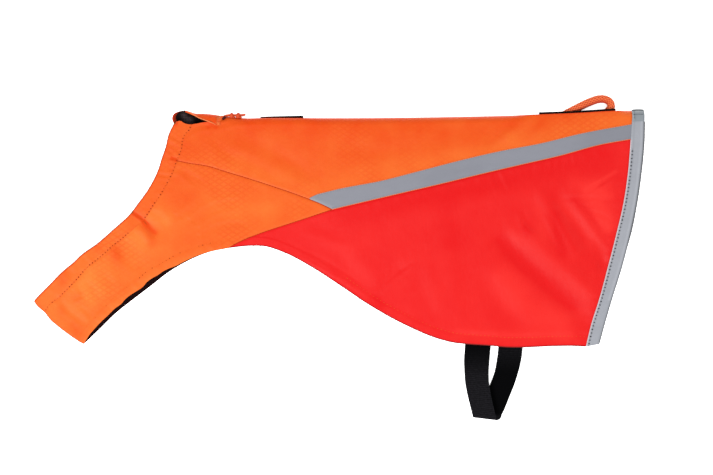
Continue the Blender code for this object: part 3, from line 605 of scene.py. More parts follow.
def shade(places, piece):
    """The painted light and shade of the cloth at plan places."""
    light = np.full(places.shape[:-1], BASE_PAINTED_SHADING.get(piece, MIDDLE_TONE))
    for change, reach, curve in SHADES.get(piece, ()):
        light += change * bell(nearest_on(places, curve, max(CREASE_POINTS, 3 * len(curve)))[0], reach)
    return np.clip(light, *TONE_RANGE)


def foot_height(x):
    """Height of the left half's edge along the back: down on the right half, but lifted at a slit."""
    below_roll = np.stack([x, ridge(x) - ROLL], axis=-1)
    lift = 0.0
    for start, end, front_ramp, rear_ramp, share in SLITS:
        rise = ease((x - start + front_ramp) / front_ramp)
        fall = ease((end + rear_ramp - x) / rear_ramp)
        lift = lift + share * rise * fall
    return FOOT + lift * (outer_height(below_roll) - CLOTH - FOOT)


def near_points(places, depth, piece=None):
    """Points of the left half, `depth` under its outer face, over plan places."""
    x, y = places[..., 0], places[..., 1]
    top = outer_height(places)
    if piece:
        top = top + crease_height(places, piece)
    edge = ridge(x) - GAP / 2
    turn = np.clip(1.0 - (edge - y) / ROLL, 0.0, 1.0)
    foot = foot_height(x)
    rise = np.sqrt(1.0 - turn**2)
    rolled_y = edge - depth - (ROLL - depth) * (1.0 - turn)
    on_roll = turn > 0.0
    z = np.where(on_roll, foot + (top - depth - foot) * rise, top - depth)
    return np.stack([x, np.where(on_roll, rolled_y, y), z], axis=-1)


def on_cloth(points, above, piece=None):
    """Places a given height above the left half's outer face, as rows of x, y, z."""
    return tuple(map(tuple, near_points(np.array(points, float), -above, piece)))


def coons(bottom, top, left, right):
    """Plan grid between four sides: rows from bottom to top, columns from left to right."""
    u = np.linspace(0.0, 1.0, len(bottom))[None, :, None]
    v = np.linspace(0.0, 1.0, len(left))[:, None, None]
    grid = (1 - v) * bottom[None] + v * top[None] + (1 - u) * left[:, None] + u * right[:, None]
    grid -= (1 - u) * (1 - v) * bottom[0] + u * (1 - v) * bottom[-1]
    grid -= (1 - u) * v * top[0] + u * v * top[-1]
    return grid


# ---------------------------------------------------------------- meshes
SAME_PLACE = 1e-7
SHARP_DEGREES = 50.0
BEVEL_DEGREES = 60.0


def world(points):
    """Points of the plan, in millimetres, as places in metres."""
    return (np.asarray(points, float) - (*PLAN_CENTRE, 0.0)) * MM


def add_object(name, data):
    thing = bpy.data.objects.new(name, data)
    bpy.context.scene.collection.objects.link(thing)
    return thing


def mesh_piece(name, points, faces, made_of, uv=None, second=None):
    """A piece of mesh, with its faces turned out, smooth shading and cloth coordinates."""
    mesh = bpy.data.meshes.new(name)
    mesh.from_pydata(world(points).tolist(), [], faces)
    mesh.materials.append(made_of)
    if second:
        inner_faces, inner_material = second
        mesh.materials.append(inner_material)
        for index in inner_faces:
            mesh.polygons[index].material_index = 1
    if uv is not None:
        layer = mesh.uv_layers.new(name="cloth")
        corner_points = np.empty(len(mesh.loops), int)
        mesh.loops.foreach_get("vertex_index", corner_points)
        layer.data.foreach_set("uv", (np.asarray(uv)[corner_points] * MM).ravel())
    shape = bmesh.new()
    shape.from_mesh(mesh)
    bmesh.ops.recalc_face_normals(shape, faces=shape.faces)
    shape.to_mesh(mesh)
    shape.free()
    mesh.shade_smooth()
    mesh.set_sharp_from_angle(angle=math.radians(SHARP_DEGREES))
    thing = add_object(name, mesh)
    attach(thing, BODY)
    return thing


def grid_faces(rows, columns, start=0, flip=False):
    """The cells of a grid of points as faces."""
    near = start + (np.arange(rows - 1)[:, None] * columns + np.arange(columns - 1)[None, :])
    cells = np.stack([near, near + 1, near + columns + 1, near + columns], axis=-1).reshape(-1, 4)
    return (cells[:, ::-1] if flip else cells).tolist()


def tube_faces(rings, sides, start=0):
    """The faces of a closed tube whose rings of points follow each other, with an end face at each end."""
    faces = []
    for i in range(rings - 1):
        low, high = start + i * sides, start + (i + 1) * sides
        for j in range(sides):
            k = (j + 1) % sides
            faces.append((low + j, low + k, high + k, high + j))
    last = start + (rings - 1) * sides
    return faces + [tuple(range(start, start + sides)), tuple(range(last + sides - 1, last - 1, -1))]


def side_ring(rows, columns):
    """The corners of a grid's cells on its four sides, in order round it."""
    ring = [(0, c) for c in range(columns)]
    ring += [(r, columns - 1) for r in range(1, rows)]
    ring += [(rows - 1, c) for c in range(columns - 2, -1, -1)]
    ring += [(r, 0) for r in range(rows - 2, 0, -1)]
    return ring


def cloth_coordinates(points):
    """Where each grid point lies on the flat cloth: its plan place, plus the cloth that a slope takes up."""
    step = np.diff(points, axis=0)
    extra = np.linalg.norm(step, axis=-1) - np.linalg.norm(step[..., :2], axis=-1)
    taken = np.concatenate([np.zeros((1, points.shape[1])), np.cumsum(extra, axis=0)])
    return np.stack([points[..., 0], points[..., 1] + taken], axis=-1)


def set_painted_shading(made, tone):
    """Holds for each point the painted light and shade of the material there."""
    layer = made.data.attributes.new("tone", "FLOAT", "POINT")
    layer.data.foreach_set("value", np.asarray(tone, float).ravel())


def wall(name, node, outer, inner, tone, made_of, inside=None, uv=None, rounding=0.22):
    """A closed shell between two grids of points, with its edges rounded, that stands for a CAD node."""
    rows, columns = outer.shape[:2]
    size = rows * columns
    faces = grid_faces(rows, columns)
    faces += grid_faces(rows, columns, size, flip=True)
    ring = [r * columns + c for r, c in side_ring(rows, columns)]
    faces += [(j, i, i + size, j + size) for i, j in zip(ring, ring[1:] + ring[:1])]
    points = np.concatenate([outer.reshape(-1, 3), inner.reshape(-1, 3)])
    flat = cloth_coordinates(outer) if uv is None else uv
    flat = np.concatenate([flat.reshape(-1, 2)] * 2)
    cells = (rows - 1) * (columns - 1)
    second = (range(cells, 2 * cells), inside) if inside else None
    made = mesh_piece(name, points, faces, made_of, flat, second)
    set_painted_shading(made, np.concatenate([tone.ravel()] * 2))
    shape = bmesh.new()
    shape.from_mesh(made.data)
    bmesh.ops.remove_doubles(shape, verts=shape.verts, dist=SAME_PLACE)
    shape.to_mesh(made.data)
    shape.free()
    bevel = made.modifiers.new("rounded edges", "BEVEL")
    bevel.width = rounding * MM
    bevel.segments = 2
    bevel.limit_method = "ANGLE"
    bevel.angle_limit = math.radians(BEVEL_DEGREES)
    bevel.harden_normals = False
    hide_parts(node)
    return made


# ---------------------------------------------------------------- the camera, at the photograph's angle
PHOTO_SIZE = (713, 475)
MM_PER_PIXEL = 1.06
PLAN_ZERO_PIXEL = (33, 421)
CAMERA_HEIGHT = 3.0
MIDDLE_HEIGHT = 0.006
SENSOR_WIDTH = 36.0


def make_camera():
    """A camera straight above the middle of the photograph's frame."""
    data = bpy.data.cameras.new("camera")
    data.sensor_width = SENSOR_WIDTH
    data.lens = data.sensor_width * (CAMERA_HEIGHT - MIDDLE_HEIGHT) / (PHOTO_SIZE[0] * MM_PER_PIXEL * MM)
    camera = add_object("camera", data)
    middle_x = (PHOTO_SIZE[0] / 2 - PLAN_ZERO_PIXEL[0]) * MM_PER_PIXEL
    middle_y = (PLAN_ZERO_PIXEL[1] - PHOTO_SIZE[1] / 2) * MM_PER_PIXEL
    place = world((middle_x, middle_y, 0.0))
    camera.location = (place[0], place[1], CAMERA_HEIGHT)
    bpy.context.scene.camera = camera


make_camera()

# ---------------------------------------------------------------- materials
DIMMED = 0.8          # every colour and gloss, because the lights are bright enough to leave no shadows
# How dark the painted shade along edges is, and between which painted values it comes in.
EDGE_SHARE = 0.27
EDGE_TONES = (-1.8, -0.5)
COAT_ROUGHNESS = 0.35
DIAMOND_WIDE = 9.4
DIAMOND_TALL = 5.9


class Look:
    """A material while it is made: its methods add a node and give back what comes out of it."""

    def __init__(self, name, slot, roughness, specular, coat=0.0):
        self.made = bpy.data.materials.new(name)
        self.made.use_nodes = True
        self.tree = self.made.node_tree
        self.shader = self.tree.nodes["Principled BSDF"]
        self.set("Roughness", roughness)
        self.set("Specular IOR Level", specular * DIMMED)
        self.set("Coat Weight", coat)
        self.set("Coat Roughness", COAT_ROUGHNESS)

    def set(self, key, value):
        """Sets what is the same all over on the shader itself."""
        self.shader.inputs[key].default_value = value

    def node(self, kind, values=None, out=0, **settings):
        """A node with settings, whose inputs are linked to a socket or set to a value."""
        made = self.tree.nodes.new(kind)
        for key, value in settings.items():
            setattr(made, key, value)
        for key, value in (values or {}).items():
            if isinstance(value, bpy.types.NodeSocket):
                self.tree.links.new(value, made.inputs[key])
            else:
                made.inputs[key].default_value = value
        return made.outputs[out]

    def lies_on(self, place):
        """From here on, patterns lie by these coordinates, in millimetres."""
        self.place = self.node("ShaderNodeVectorMath", {0: place, "Scale": 1 / MM}, operation="SCALE")
        return self

    def math(self, operation, first, second, clamp=False):
        return self.node("ShaderNodeMath", {0: first, 1: second}, operation=operation, use_clamp=clamp)

    def times(self, first, second, clamp=False):
        return self.math("MULTIPLY", first, second, clamp)

    def plus(self, first, second, clamp=False):
        return self.math("ADD", first, second, clamp)

    def mix(self, share, dark, light):
        """A colour between two, each a socket or a colour that is dimmed."""
        dark, light = [end if isinstance(end, bpy.types.NodeSocket) else (*(v * DIMMED for v in end), 1.0)
                       for end in (dark, light)]
        return self.node("ShaderNodeMix", {0: share, 6: dark, 7: light}, 2, data_type="RGBA")

    def ramp(self, value, low, high):
        """0 below low, 1 above high."""
        values = {0: value, 1: low, 2: high, 3: 0.0, 4: 1.0}
        return self.node("ShaderNodeMapRange", values, interpolation_type="SMOOTHSTEP")

    def between(self, value, low, high):
        return self.node("ShaderNodeMapRange", {0: value, 3: low, 4: high})

    def noise(self, size, detail=2.0, roughness=0.5, stretch=None):
        """Soft noise whose lumps are about `size` millimetres."""
        place = self.place
        if stretch:
            place = self.node("ShaderNodeMapping", {"Vector": place, "Scale": stretch})
        return self.node("ShaderNodeTexNoise", {"Vector": place, "Scale": 1.0 / size, "Detail": detail,
                                                "Roughness": roughness})

    def wave(self, pitch, direction, **values):
        values = {key.replace("_", " "): value for key, value in values.items()}
        return self.node("ShaderNodeTexWave", {"Vector": self.place, "Scale": math.tau / (20.0 * pitch),
                                               "Detail": 1.0, **values}, "Fac", bands_direction=direction)

    def weave(self, pitch):
        """Height of a plain weave of threads."""
        heights = [self.wave(pitch, way, Distortion=0.4, Detail_Scale=0.6) for way in ("X", "Y")]
        return self.times(self.plus(*heights), 0.5)

    def diamonds(self):
        """1 on the lines of the diamond grid, 0 inside the diamonds."""
        scale = (math.sqrt(2) / DIAMOND_WIDE, math.sqrt(2) / DIAMOND_TALL, 1.0)
        turned = self.node("ShaderNodeMapping", {"Vector": self.place, "Scale": scale})
        turned = self.node("ShaderNodeVectorRotate", {"Vector": turned, "Angle": math.radians(45)},
                           rotation_type="Z_AXIS")
        cells = self.node("ShaderNodeTexVoronoi", {"Vector": turned, "Scale": 1.0, "Randomness": 0.0},
                          feature="DISTANCE_TO_EDGE", voronoi_dimensions="2D")
        return self.math("SUBTRACT", 1.0, self.ramp(cells, 0.06, 0.26))

    def bump(self, height, distance, normal=None):
        values = {"Height": height, "Distance": distance * MM, "Strength": 1.0}
        if normal:
            values["Normal"] = normal
        return self.node("ShaderNodeBump", values)

    def tone(self):
        """The painted light and shade that the mesh holds."""
        return self.node("ShaderNodeAttribute", None, "Fac", attribute_name="tone")

    def toned(self, change):
        """The mesh's painted light and shade, mixed with a soft unevenness."""
        return self.plus(self.tone(), self.times(self.math("SUBTRACT", change, 0.5), 0.5), True)

    def edged(self, colour, light):
        """A colour that goes dark as painted shade along an edge, where the mesh holds painted light and
        shade far below 0.
        """
        edge = tuple(EDGE_SHARE * value for value in light)
        return self.mix(self.ramp(self.tone(), *EDGE_TONES), edge, colour)

    def finish(self, colour, normal, rough=None):
        """The material, once its colour, bumps and roughness are linked to its shader."""
        for key, value in (("Base Color", colour), ("Roughness", rough), ("Normal", normal)):
            if value:
                self.tree.links.new(value, self.shader.inputs[key])
        return self.made


def cloth_look(*names, **values):
    """A look that lies by the flat cloth's coordinates."""
    look = Look(*names, **values)
    return look.lies_on(look.node("ShaderNodeUVMap", uv_map="cloth"))


def thread_look(*names, **values):
    """A look that lies by the object's own coordinates."""
    look = Look(*names, **values)
    return look.lies_on(look.node("ShaderNodeTexCoord", None, "Object"))


def ripstop(name, slot, dark, light, line_tint):
    """Coated cloth with a fine diamond grid of thicker threads, which shows more in some places."""
    look = cloth_look(name, slot, roughness=0.44, specular=0.115)
    lines = look.diamonds()
    shown = look.times(lines, look.plus(0.12, look.ramp(look.noise(60.0, detail=1.0), 0.45, 0.7)))
    # Painted light and shade: the mesh's painted values set the colour between dark and light.
    ground = look.mix(look.toned(look.noise(22.0, detail=3.0, roughness=0.55)), dark, light)
    fine = look.ramp(look.noise(1.3, detail=2.0, roughness=0.6), 0.3, 0.8)
    ground = look.mix(look.times(fine, 0.16), ground, dark)
    colour = look.edged(look.mix(look.times(shown, 0.25), ground, line_tint), light)
    rough = look.between(look.noise(9.0, detail=3.0), 0.36, 0.54)
    normal = look.bump(shown, 0.05, look.bump(look.weave(0.62), 0.05))
    return look.finish(colour, look.bump(look.noise(5.0, detail=3.0, roughness=0.6), 0.22, normal), rough)


def plain_cloth(name, slot, dark, light, roughness=0.42, specular=0.17):
    """Smooth, tightly woven shell cloth with a faint crinkle."""
    look = cloth_look(name, slot, roughness=roughness, specular=specular)
    # Painted light and shade: the mesh's painted values set the colour between dark and light.
    ground = look.mix(look.toned(look.noise(30.0, detail=3.0, roughness=0.6)), dark, light)
    fine = look.ramp(look.noise(0.9, detail=2.0, roughness=0.6), 0.3, 0.8)
    colour = look.edged(look.mix(look.times(fine, 0.2), ground, dark), light)
    rough = look.between(look.noise(12.0, detail=3.0), roughness - 0.07, roughness + 0.09)
    crinkle = look.noise(7.0, detail=4.0, roughness=0.62, stretch=(1.0, 0.55, 1.0))
    return look.finish(colour, look.bump(crinkle, 0.25, look.bump(look.weave(0.5), 0.035)), rough)


def reflective(name, slot, dark, light):
    """Grey tape covered in tiny glass beads: fine specks and soft rubbed patches."""
    look = cloth_look(name, slot, roughness=0.42, specular=0.35, coat=0.06)
    streaks = look.noise(18.0, detail=4.0, roughness=0.6, stretch=(1.0, 2.0, 1.0))
    # Painted light and shade from the mesh, with the rubbed streaks, sets the colour between dark and light.
    ground = look.mix(look.toned(streaks), dark, light)
    specks = look.node("ShaderNodeTexVoronoi", {"Vector": look.place, "Scale": 1.6}, "Distance")
    colour = look.edged(look.mix(look.times(look.ramp(specks, 0.2, 0.7), 0.3), ground, dark), light)
    normal = look.bump(look.noise(6.0, detail=3.0), 0.15, look.bump(specks, 0.03))
    return look.finish(colour, normal, look.between(specks, 0.34, 0.56))


def webbing(name, slot, dark, light):
    """Black woven webbing: fine lengthwise yarns over the ribs of the mesh."""
    look = cloth_look(name, slot, roughness=0.65, specular=0.012)
    yarns = look.wave(0.9, "X", Distortion=0.8)
    lint = look.ramp(look.noise(2.2, detail=4.0, roughness=0.7), 0.35, 0.85)
    # Painted light and shade: the yarns show lighter by the strap's painted values, dark between its ribs.
    share = look.times(look.plus(lint, yarns), look.tone(), True)
    return look.finish(look.mix(share, dark, light), look.bump(yarns, 0.08))


def mesh_lining(name, slot, dark, light, by_tone=False):
    """Dark knitted mesh with small round holes."""
    look = cloth_look(name, slot, roughness=0.85, specular=0.03)
    values = {"Vector": look.place, "Scale": 0.62, "Randomness": 0.12}
    yarn = look.ramp(look.node("ShaderNodeTexVoronoi", values, "Distance", voronoi_dimensions="2D"),
                     0.24, 0.5)
    # With by_tone, the painted light of the mesh lightens the yarn, as a painted highlight on a fold.
    if by_tone:
        yarn = look.times(look.plus(yarn, 0.3), look.tone(), True)
    return look.finish(look.mix(yarn, dark, light), look.bump(yarn, 0.25))


def braid(name, slot, dark, light):
    """Braided cord: painted shade between the strands and on the side turned towards -y, which the mesh
    holds, with fine fibres.
    """
    look = thread_look(name, slot, roughness=0.6, specular=0.2)
    fibres = look.noise(0.8, detail=3.0, roughness=0.7)
    share = look.times(look.tone(), look.plus(0.72, fibres), True)
    return look.finish(look.mix(share, dark, light), look.bump(fibres, 0.12))


def thread(name, slot, dark, light, roughness=0.6, specular=0.2):
    look = thread_look(name, slot, roughness=roughness, specular=specular)
    twist = look.noise(0.5, detail=2.0, roughness=0.6)
    return look.finish(look.mix(twist, dark, light), look.bump(twist, 0.05))


ORANGE, RED, GREY = "orange_ripstop", "red_shell", "grey_tape"
BLACK, DARK, ROPE = "black_webbing", "dark_lining", "orange_rope"
ORANGE_CLOTH = ripstop("orange ripstop", ORANGE, (0.50, 0.040, 0.0004), (0.56, 0.132, 0.018),
                       (0.48, 0.036, 0.0004))
ORANGE_INSIDE = plain_cloth("inside of the orange cloth", ORANGE, (0.36, 0.022, 0.004),
                            (0.48, 0.045, 0.008), 0.7, 0.06)
RED_CLOTH = plain_cloth("red shell cloth", RED, (0.485, 0.0004, 0.001), (0.56, 0.015, 0.011))
RED_INSIDE = plain_cloth("inside of the red cloth", RED, (0.30, 0.010, 0.010), (0.38, 0.016, 0.015),
                         0.7, 0.06)
# The stripe, binding and join are one grey tape: their copies differ in painted light and shade, the binding
# lit lighter, the stripe and the join darker.
STRIPE_TAPE = reflective("reflective stripe", GREY, (0.136, 0.140, 0.163), (0.176, 0.180, 0.208))
BINDING_TAPE = reflective("reflective binding", GREY, (0.18, 0.189, 0.210), (0.26, 0.268, 0.295))
JOIN_TAPE = reflective("binding join", GREY, (0.13, 0.146, 0.160), (0.19, 0.212, 0.228))
BLACK_WEBBING = webbing("black webbing", BLACK, (0.0008, 0.0008, 0.001), (0.0105, 0.010, 0.0118))
BLACK_TAPE = webbing("black tape", BLACK, (0.0012, 0.0006, 0.0007), (0.006, 0.005, 0.0055))
DARK_LINING = mesh_lining("dark lining", DARK, (0.0018, 0.0005, 0.0006), (0.012, 0.0038, 0.0045))
NAPE_LINING = mesh_lining("nape lining", DARK, (0.004, 0.0015, 0.0016), (0.050, 0.036, 0.038), True)
ROPE_BRAID = braid("orange rope", ROPE, (0.34, 0.010, 0.004), (0.62, 0.122, 0.032))
CORD_BRAID = braid("orange cord", ROPE, (0.32, 0.007, 0.003), (0.58, 0.085, 0.014))
ORANGE_THREAD = thread("orange thread", ORANGE, (0.44, 0.05, 0.004), (0.54, 0.10, 0.012))
# Painted highlight along the stripe's edges and the rim of the mouth.
ORANGE_HIGHLIGHT = thread("painted orange highlight", ORANGE, (0.56, 0.105, 0.022), (0.60, 0.17, 0.055))
GREY_THREAD = thread("grey thread", GREY, (0.12, 0.12, 0.135), (0.20, 0.20, 0.22))
# Dark grey for the join's stitches, and painted shade in the binding's needle holes and along its outer
# edge.
DARK_THREAD_AND_SHADE = thread("dark grey thread and painted shade", GREY, (0.020, 0.020, 0.026), (0.040, 0.040, 0.050), 0.8, 0.1)
# Painted shade: dark grey where the tape folds over at the top of the join.
FOLD_SHADE = thread("painted shade on the folded tape edge", GREY, (0.05, 0.06, 0.065), (0.085, 0.097, 0.105), 0.6, 0.1)
# Painted highlight along the binding's inner edge.
INNER_EDGE_HIGHLIGHT = thread("painted highlight on the tape's edge", GREY, (0.44, 0.36, 0.38), (0.55, 0.47, 0.49))
TACK_THREAD = thread("bartack thread", ORANGE, (0.50, 0.06, 0.008), (0.58, 0.14, 0.03))
# A dark tube of painted shade, where the cord leaves its hole.
CORD_HOLE_SHADE = thread("painted shade of the cord hole", ORANGE, (0.025, 0.003, 0.002), (0.070, 0.006, 0.004), 0.8, 0.1)
# Dark dots of painted shade in the needle holes; also the colour of the loose threads.
HOLE_SHADE_AND_THREADS = thread("needle hole shade and loose threads", ORANGE, (0.16, 0.012, 0.002), (0.25, 0.022, 0.004), 0.9, 0.05)
SEAM_DARK = thread("seam shadow", ORANGE, (0.26, 0.016, 0.002), (0.36, 0.028, 0.004), 0.9, 0.05)

# ---------------------------------------------------------------- cords
ON_FLOOR = 0.02
ROPE_STEPS = 260
ROPE_SWELL = 1.07
# How sharply the painted shade between the strands falls off.
STRAND_CONTRAST = 2.2
UNDER = 0.45          # how far a strand sinks where another passes over it
CORD_STEPS = 110
KNOT_POINTS = 90
KNOT_SWELL = 1.25
KNOT_SPREAD = 1.25
KNOT_SINK = (0.0, -0.7, 0.0)
KNOT_TURNS = 2.2
KNOT_TAPER = 0.3      # how much narrower the winding is at its ends
KNOT_CROSSING = 0.18
KNOT_SHADE_FROM = 0.6
END_LENGTH = 0.75     # of the radius
CLOSED = 0.9          # how far a cord's end closes
KNOTS = (
    # name, share of the cord's length, share it sits back, outer radius, length
    ("drawcord_knot_a", 0.56, 0.0, 2.8, 5.2),
    ("drawcord_knot_b", 0.83, 0.06, 2.9, 5.6),
)


def frames_along(path):
    """For each point of a path: two directions across it that turn no more than they must."""
    run = unit(np.gradient(path, axis=0))
    side = np.cross(run[0], (0.0, 0.0, 1.0))
    sides = []
    for direction in run:
        side = unit(side - direction * (side @ direction))
        sides.append(side)
    sides = np.array(sides)
    return sides, np.cross(run, sides)


def rings_round(path, angle):
    """Directions out of a path at each angle round it."""
    side, up = frames_along(path)
    return side[:, None] * np.cos(angle)[..., None] + up[:, None] * np.sin(angle)[..., None]


def braided(name, node, path, radius, made_of, strands, lay, relief, around, shadow):
    """A cord of two families of strands that pass over and under each other, with closed ends."""
    distance = distances(path)
    angle = np.linspace(0.0, math.tau, around, endpoint=False)[None, :]
    turns = strands * angle / math.tau
    left = turns + distance[:, None] / lay
    right = turns - distance[:, None] / lay
    over = 0.5 + 0.5 * np.sign(np.sin(math.pi * (left - right)) * np.sin(math.pi * (left + right)))
    height = np.maximum(np.sin(math.pi * left) ** 2 * (1.0 - UNDER + UNDER * over),
                        np.sin(math.pi * right) ** 2 * (1.0 - UNDER * over))
    tip = np.clip(np.minimum(distance, distance[-1] - distance) / (radius * END_LENGTH), 0.0, 1.0)
    reach = radius * (1.0 - relief + relief * height) * np.sqrt(1.0 - (1.0 - tip[:, None]) ** 2 * CLOSED)
    ring = rings_round(path, angle)
    points = (path[:, None] + ring * reach[..., None]).reshape(-1, 3)
    points[:, 2] = np.maximum(points[:, 2], ON_FLOOR)
    made = mesh_piece(name, points, tube_faces(len(path), around), made_of)
    # Painted shade: dark between the strands and on the side turned towards -y.
    turned_down = np.clip(-ring[..., 1], 0.0, 1.0)
    set_painted_shading(made, np.clip(height, 0.0, 1.0) ** STRAND_CONTRAST * (1.0 - shadow * turned_down))
    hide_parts(node)
    return made


def make_rope():
    path = along(ROPE_ROUTE, ROPE_STEPS)
    rope = braided("rope_loop_braid", "rope_loop", path, ROPE_RADIUS * ROPE_SWELL, ROPE_BRAID, strands=8,
                   lay=3.6, relief=0.24, around=66, shadow=0.9)


def knot_path(middle, axis, radius, length):
    """An overhand knot drawn tight: the cord wound round itself, with its crossing on one side."""
    side = unit(np.cross(axis, (0.0, 0.0, 1.0)))
    up = np.cross(side, axis)
    share = np.linspace(0.0, 1.0, KNOT_POINTS)
    angle = math.tau * KNOT_TURNS * share
    out = KNOT_SPREAD * radius * (1.0 - KNOT_TAPER + KNOT_TAPER * np.sin(math.pi * share) ** 0.5)
    travel = (share - 0.5) * length + KNOT_CROSSING * length * np.sin(angle * 0.5)
    return (middle + axis * travel[:, None] + side * (out * np.cos(angle))[:, None]
            + up * (out * np.sin(angle))[:, None])


def make_drawcord():
    path = along(on_cloth(CORD_ON_BACK, CORD_RADIUS + 2 * GAP) + CORD_FREE, CORD_STEPS)
    cord = braided("drawcord_braid", "drawcord", path, CORD_RADIUS, CORD_BRAID, strands=4, lay=2.4,
                   relief=0.24, around=20, shadow=0.9)
    for name, share, back, outer_radius, length in KNOTS:
        index = int((share - back) * CORD_STEPS)
        axis = unit(path[index + 1] - path[index])
        wound = knot_path(path[index] + KNOT_SINK, axis, outer_radius - CORD_RADIUS,
                          KNOT_SWELL * length - 2 * CORD_RADIUS)
        knot = braided(name + "_wound", name, wound, KNOT_SWELL * CORD_RADIUS, CORD_BRAID, strands=4,
                       lay=2.4, relief=0.3, around=16, shadow=0.7)
        # Painted shade between the windings of the knot: alternately darker and lighter.
        tones = knot.data.attributes["tone"].data
        share = np.arange(len(tones)) / len(tones)
        values = np.empty(len(tones))
        tones.foreach_get("value", values)
        winding = np.sin(math.tau * KNOT_TURNS * share + KNOT_SHADE_FROM)
        tones.foreach_set("value", values * (0.5 + 0.5 * winding))


make_rope()
make_drawcord()

# ---------------------------------------------------------------- the cloth pieces
FAR_DETAIL = 4
FAR_LIFT = 0.25
FAR_SHIFT = (3.0, -2.0)
FAR_CREASES = 0.5
FAR_HIGHEST = 0.8
STRIP_ROWS = 8
FOLD_STEPS = 16
BINDING_COLUMNS = 22
STRIPE_PROUD = 0.42
STRIPE_THICK = 0.36
FAR_STRIPE_THICK = 0.2
LINING_THICK = 0.5
LINING_GAP = 0.1
CASING_STANDS = 0.1
CASING_THICK = 1.2
CASING_ROUNDING = 0.4
NAPE_THICK = 1.0
FACING_THICK = 0.8
BINDING_PROUD = CASING_PROUD + 0.1
BINDING_THICK = 1.5
FAR_BINDING_THICK = 1.4
JOIN_PROUD = CASING_PROUD + 0.6
JOIN_THICK = 0.4


def nape_corner():
    """Where the mouth ends and the roll of the back begins."""
    return (NAPE_CORNER_X, ridge(NAPE_CORNER_X) - ROLL)


SEAM_CELLS = {
    "stitch": (CASING_STITCH, BAND_CELLS),
    "casing back": (CASING_TO_BACK, CASING_BACK_CELLS),
    "casing back far": (CASING_TO_BACK_FAR, FAR_CASING_CELLS),
    "mouth": (MOUTH_EDGE + (nape_corner(),), MOUTH_CELLS),
    "shoulder front": (SHOULDER_SEAM, STRIPE_START_CELL),
    "stripe start": (STRIPE_START_SEAM, SHOULDER_CELLS - STRIPE_START_CELL),
    "flank front": (FLANK_FRONT_SEAM, SHOULDER_CELLS),
    "flank": (FLANK_SEAM, FLANK_CELLS),
    "binding side": (BINDING_INNER, SHOULDER_CELLS),
}


def seams(detail):
    """The sampled seams and edges that neighbouring pieces share."""
    seam = {name: along(points, cells * detail) for name, (points, cells) in SEAM_CELLS.items()}
    seam["shoulder"] = joined(seam["shoulder front"], seam["stripe start"])
    return seam


SEAM = seams(DETAIL)
FAR_SEAM = seams(FAR_DETAIL)


def roll_rows(left_x, right_x, count):
    """Plan rows along the back, from where the roll starts up to the ridge."""
    rows = []
    for turn in np.linspace(0.0, math.pi / 2, ROLL_CELLS + 1):
        below = ROLL * (1 - math.sin(turn))
        xs = np.linspace(left_x + (NAPE_CORNER_X - left_x) * (below / ROLL), right_x, count + 1)
        rows.append(np.stack([xs, ridge(xs) - below], axis=1))
    return rows


def shares(count, down=True):
    """Shares from 0 to 1 down a grid's rows, or across its columns."""
    share = np.linspace(0.0, 1.0, count + 1)
    return share[:, None, None] if down else share[None, :, None]


def near_shell(name, node, grid, made_of, piece, top=0.0, thickness=SHELL, inside=None, painted_shading_of=None):
    """A shell of the left half over a plan grid."""
    wall(name, node, near_points(grid, top, piece), near_points(grid, top + thickness, piece),
         shade(grid, painted_shading_of or piece), made_of, inside)


def far_heights(places, piece):
    """Heights of the right half's outer face, which lies on the surface, with its own soft creases."""
    return np.clip(FAR_LIFT - FAR_CREASES * crease_height(places + FAR_SHIFT, piece), 0.0, FAR_HIGHEST)


def far_shell(name, node, grid, made_of, piece, thickness=SHELL, inside=None, lift=0.0):
    """A shell of the right half over a plan grid."""
    low = np.full(grid.shape[:-1], lift)
    if piece:
        low += far_heights(grid, piece)
    outer = np.concatenate([grid, low[..., None]], axis=-1)
    wall(name, node, outer, outer + (0.0, 0.0, thickness), shade(grid, piece), made_of, inside)


def back_grid(seam, detail):
    """Rows from the lower seam up: under the stripe, the back, the roll; and where the stripe starts."""
    lower = joined(seam["shoulder"], seam["flank"])
    columns = len(lower)
    left = joined(seam["casing back"], seam["mouth"])
    rolled = roll_rows(BACK_RIDGE_START, BINDING_INNER_TOP[0], columns - 1)
    low_row = lower + (0.0, STRIPE_CLEAR)
    high_row = lower + (0.0, STRIPE_CLEAR + STRIPE_TIP)
    stripe_from = STRIPE_START_CELL * detail + 1
    high_row[stripe_from:] = along(STRIPE_TOP, columns - 1 - stripe_from)
    low_row[0], high_row[0] = [left[0] + (left[1] - left[0]) * share for share in STRIPE_ROWS_AT_CASING]
    above = np.concatenate([high_row[:1], left[1:]])
    main = coons(high_row, rolled[0], above, straight(high_row[-1], rolled[0][-1], len(above) - 1))
    strip = blend(low_row[None], high_row[None], shares(STRIP_ROWS))
    return np.concatenate([lower[None], strip, main[1:], np.array(rolled[1:])]), stripe_from - 1


def far_back_grid(seam):
    """Plan grid of the right back, from the lower seam up to the ridge."""
    lower = joined(seam["shoulder"], seam["flank"])
    left = seam["casing back far"]
    xs = np.linspace(left[-1][0], BINDING_INNER_TOP[0], len(lower))
    top = np.stack([xs, ridge(xs) - GAP], axis=1)
    top[0] = left[-1]
    return coons(lower, top, left, straight(lower[-1], top[-1], len(left) - 1))


def side_grid(seam, detail):
    hem = along(FLANK_HEM, FLANK_CELLS * detail)
    return coons(hem, seam["flank"], seam["flank front"], seam["binding side"][::-1])


def chest_grid(leg_edge, seam, detail):
    """Columns from the centre-front fold to the shoulder point, rows from the leg edge up."""
    rows = CHEST_ROWS * detail
    edge = along(leg_edge, BAND_CELLS * detail)
    across = straight(edge[-1], seam["stitch"][-1], rows)
    band = coons(edge, seam["stitch"], along(CHEST_FOLD, rows), across)
    tip = np.repeat(seam["shoulder"][-1:], rows + 1, axis=0)
    shoulder = coons(seam["flank front"], seam["shoulder"], across, tip)
    return np.concatenate([band, shoulder[:, 1:]], axis=1)


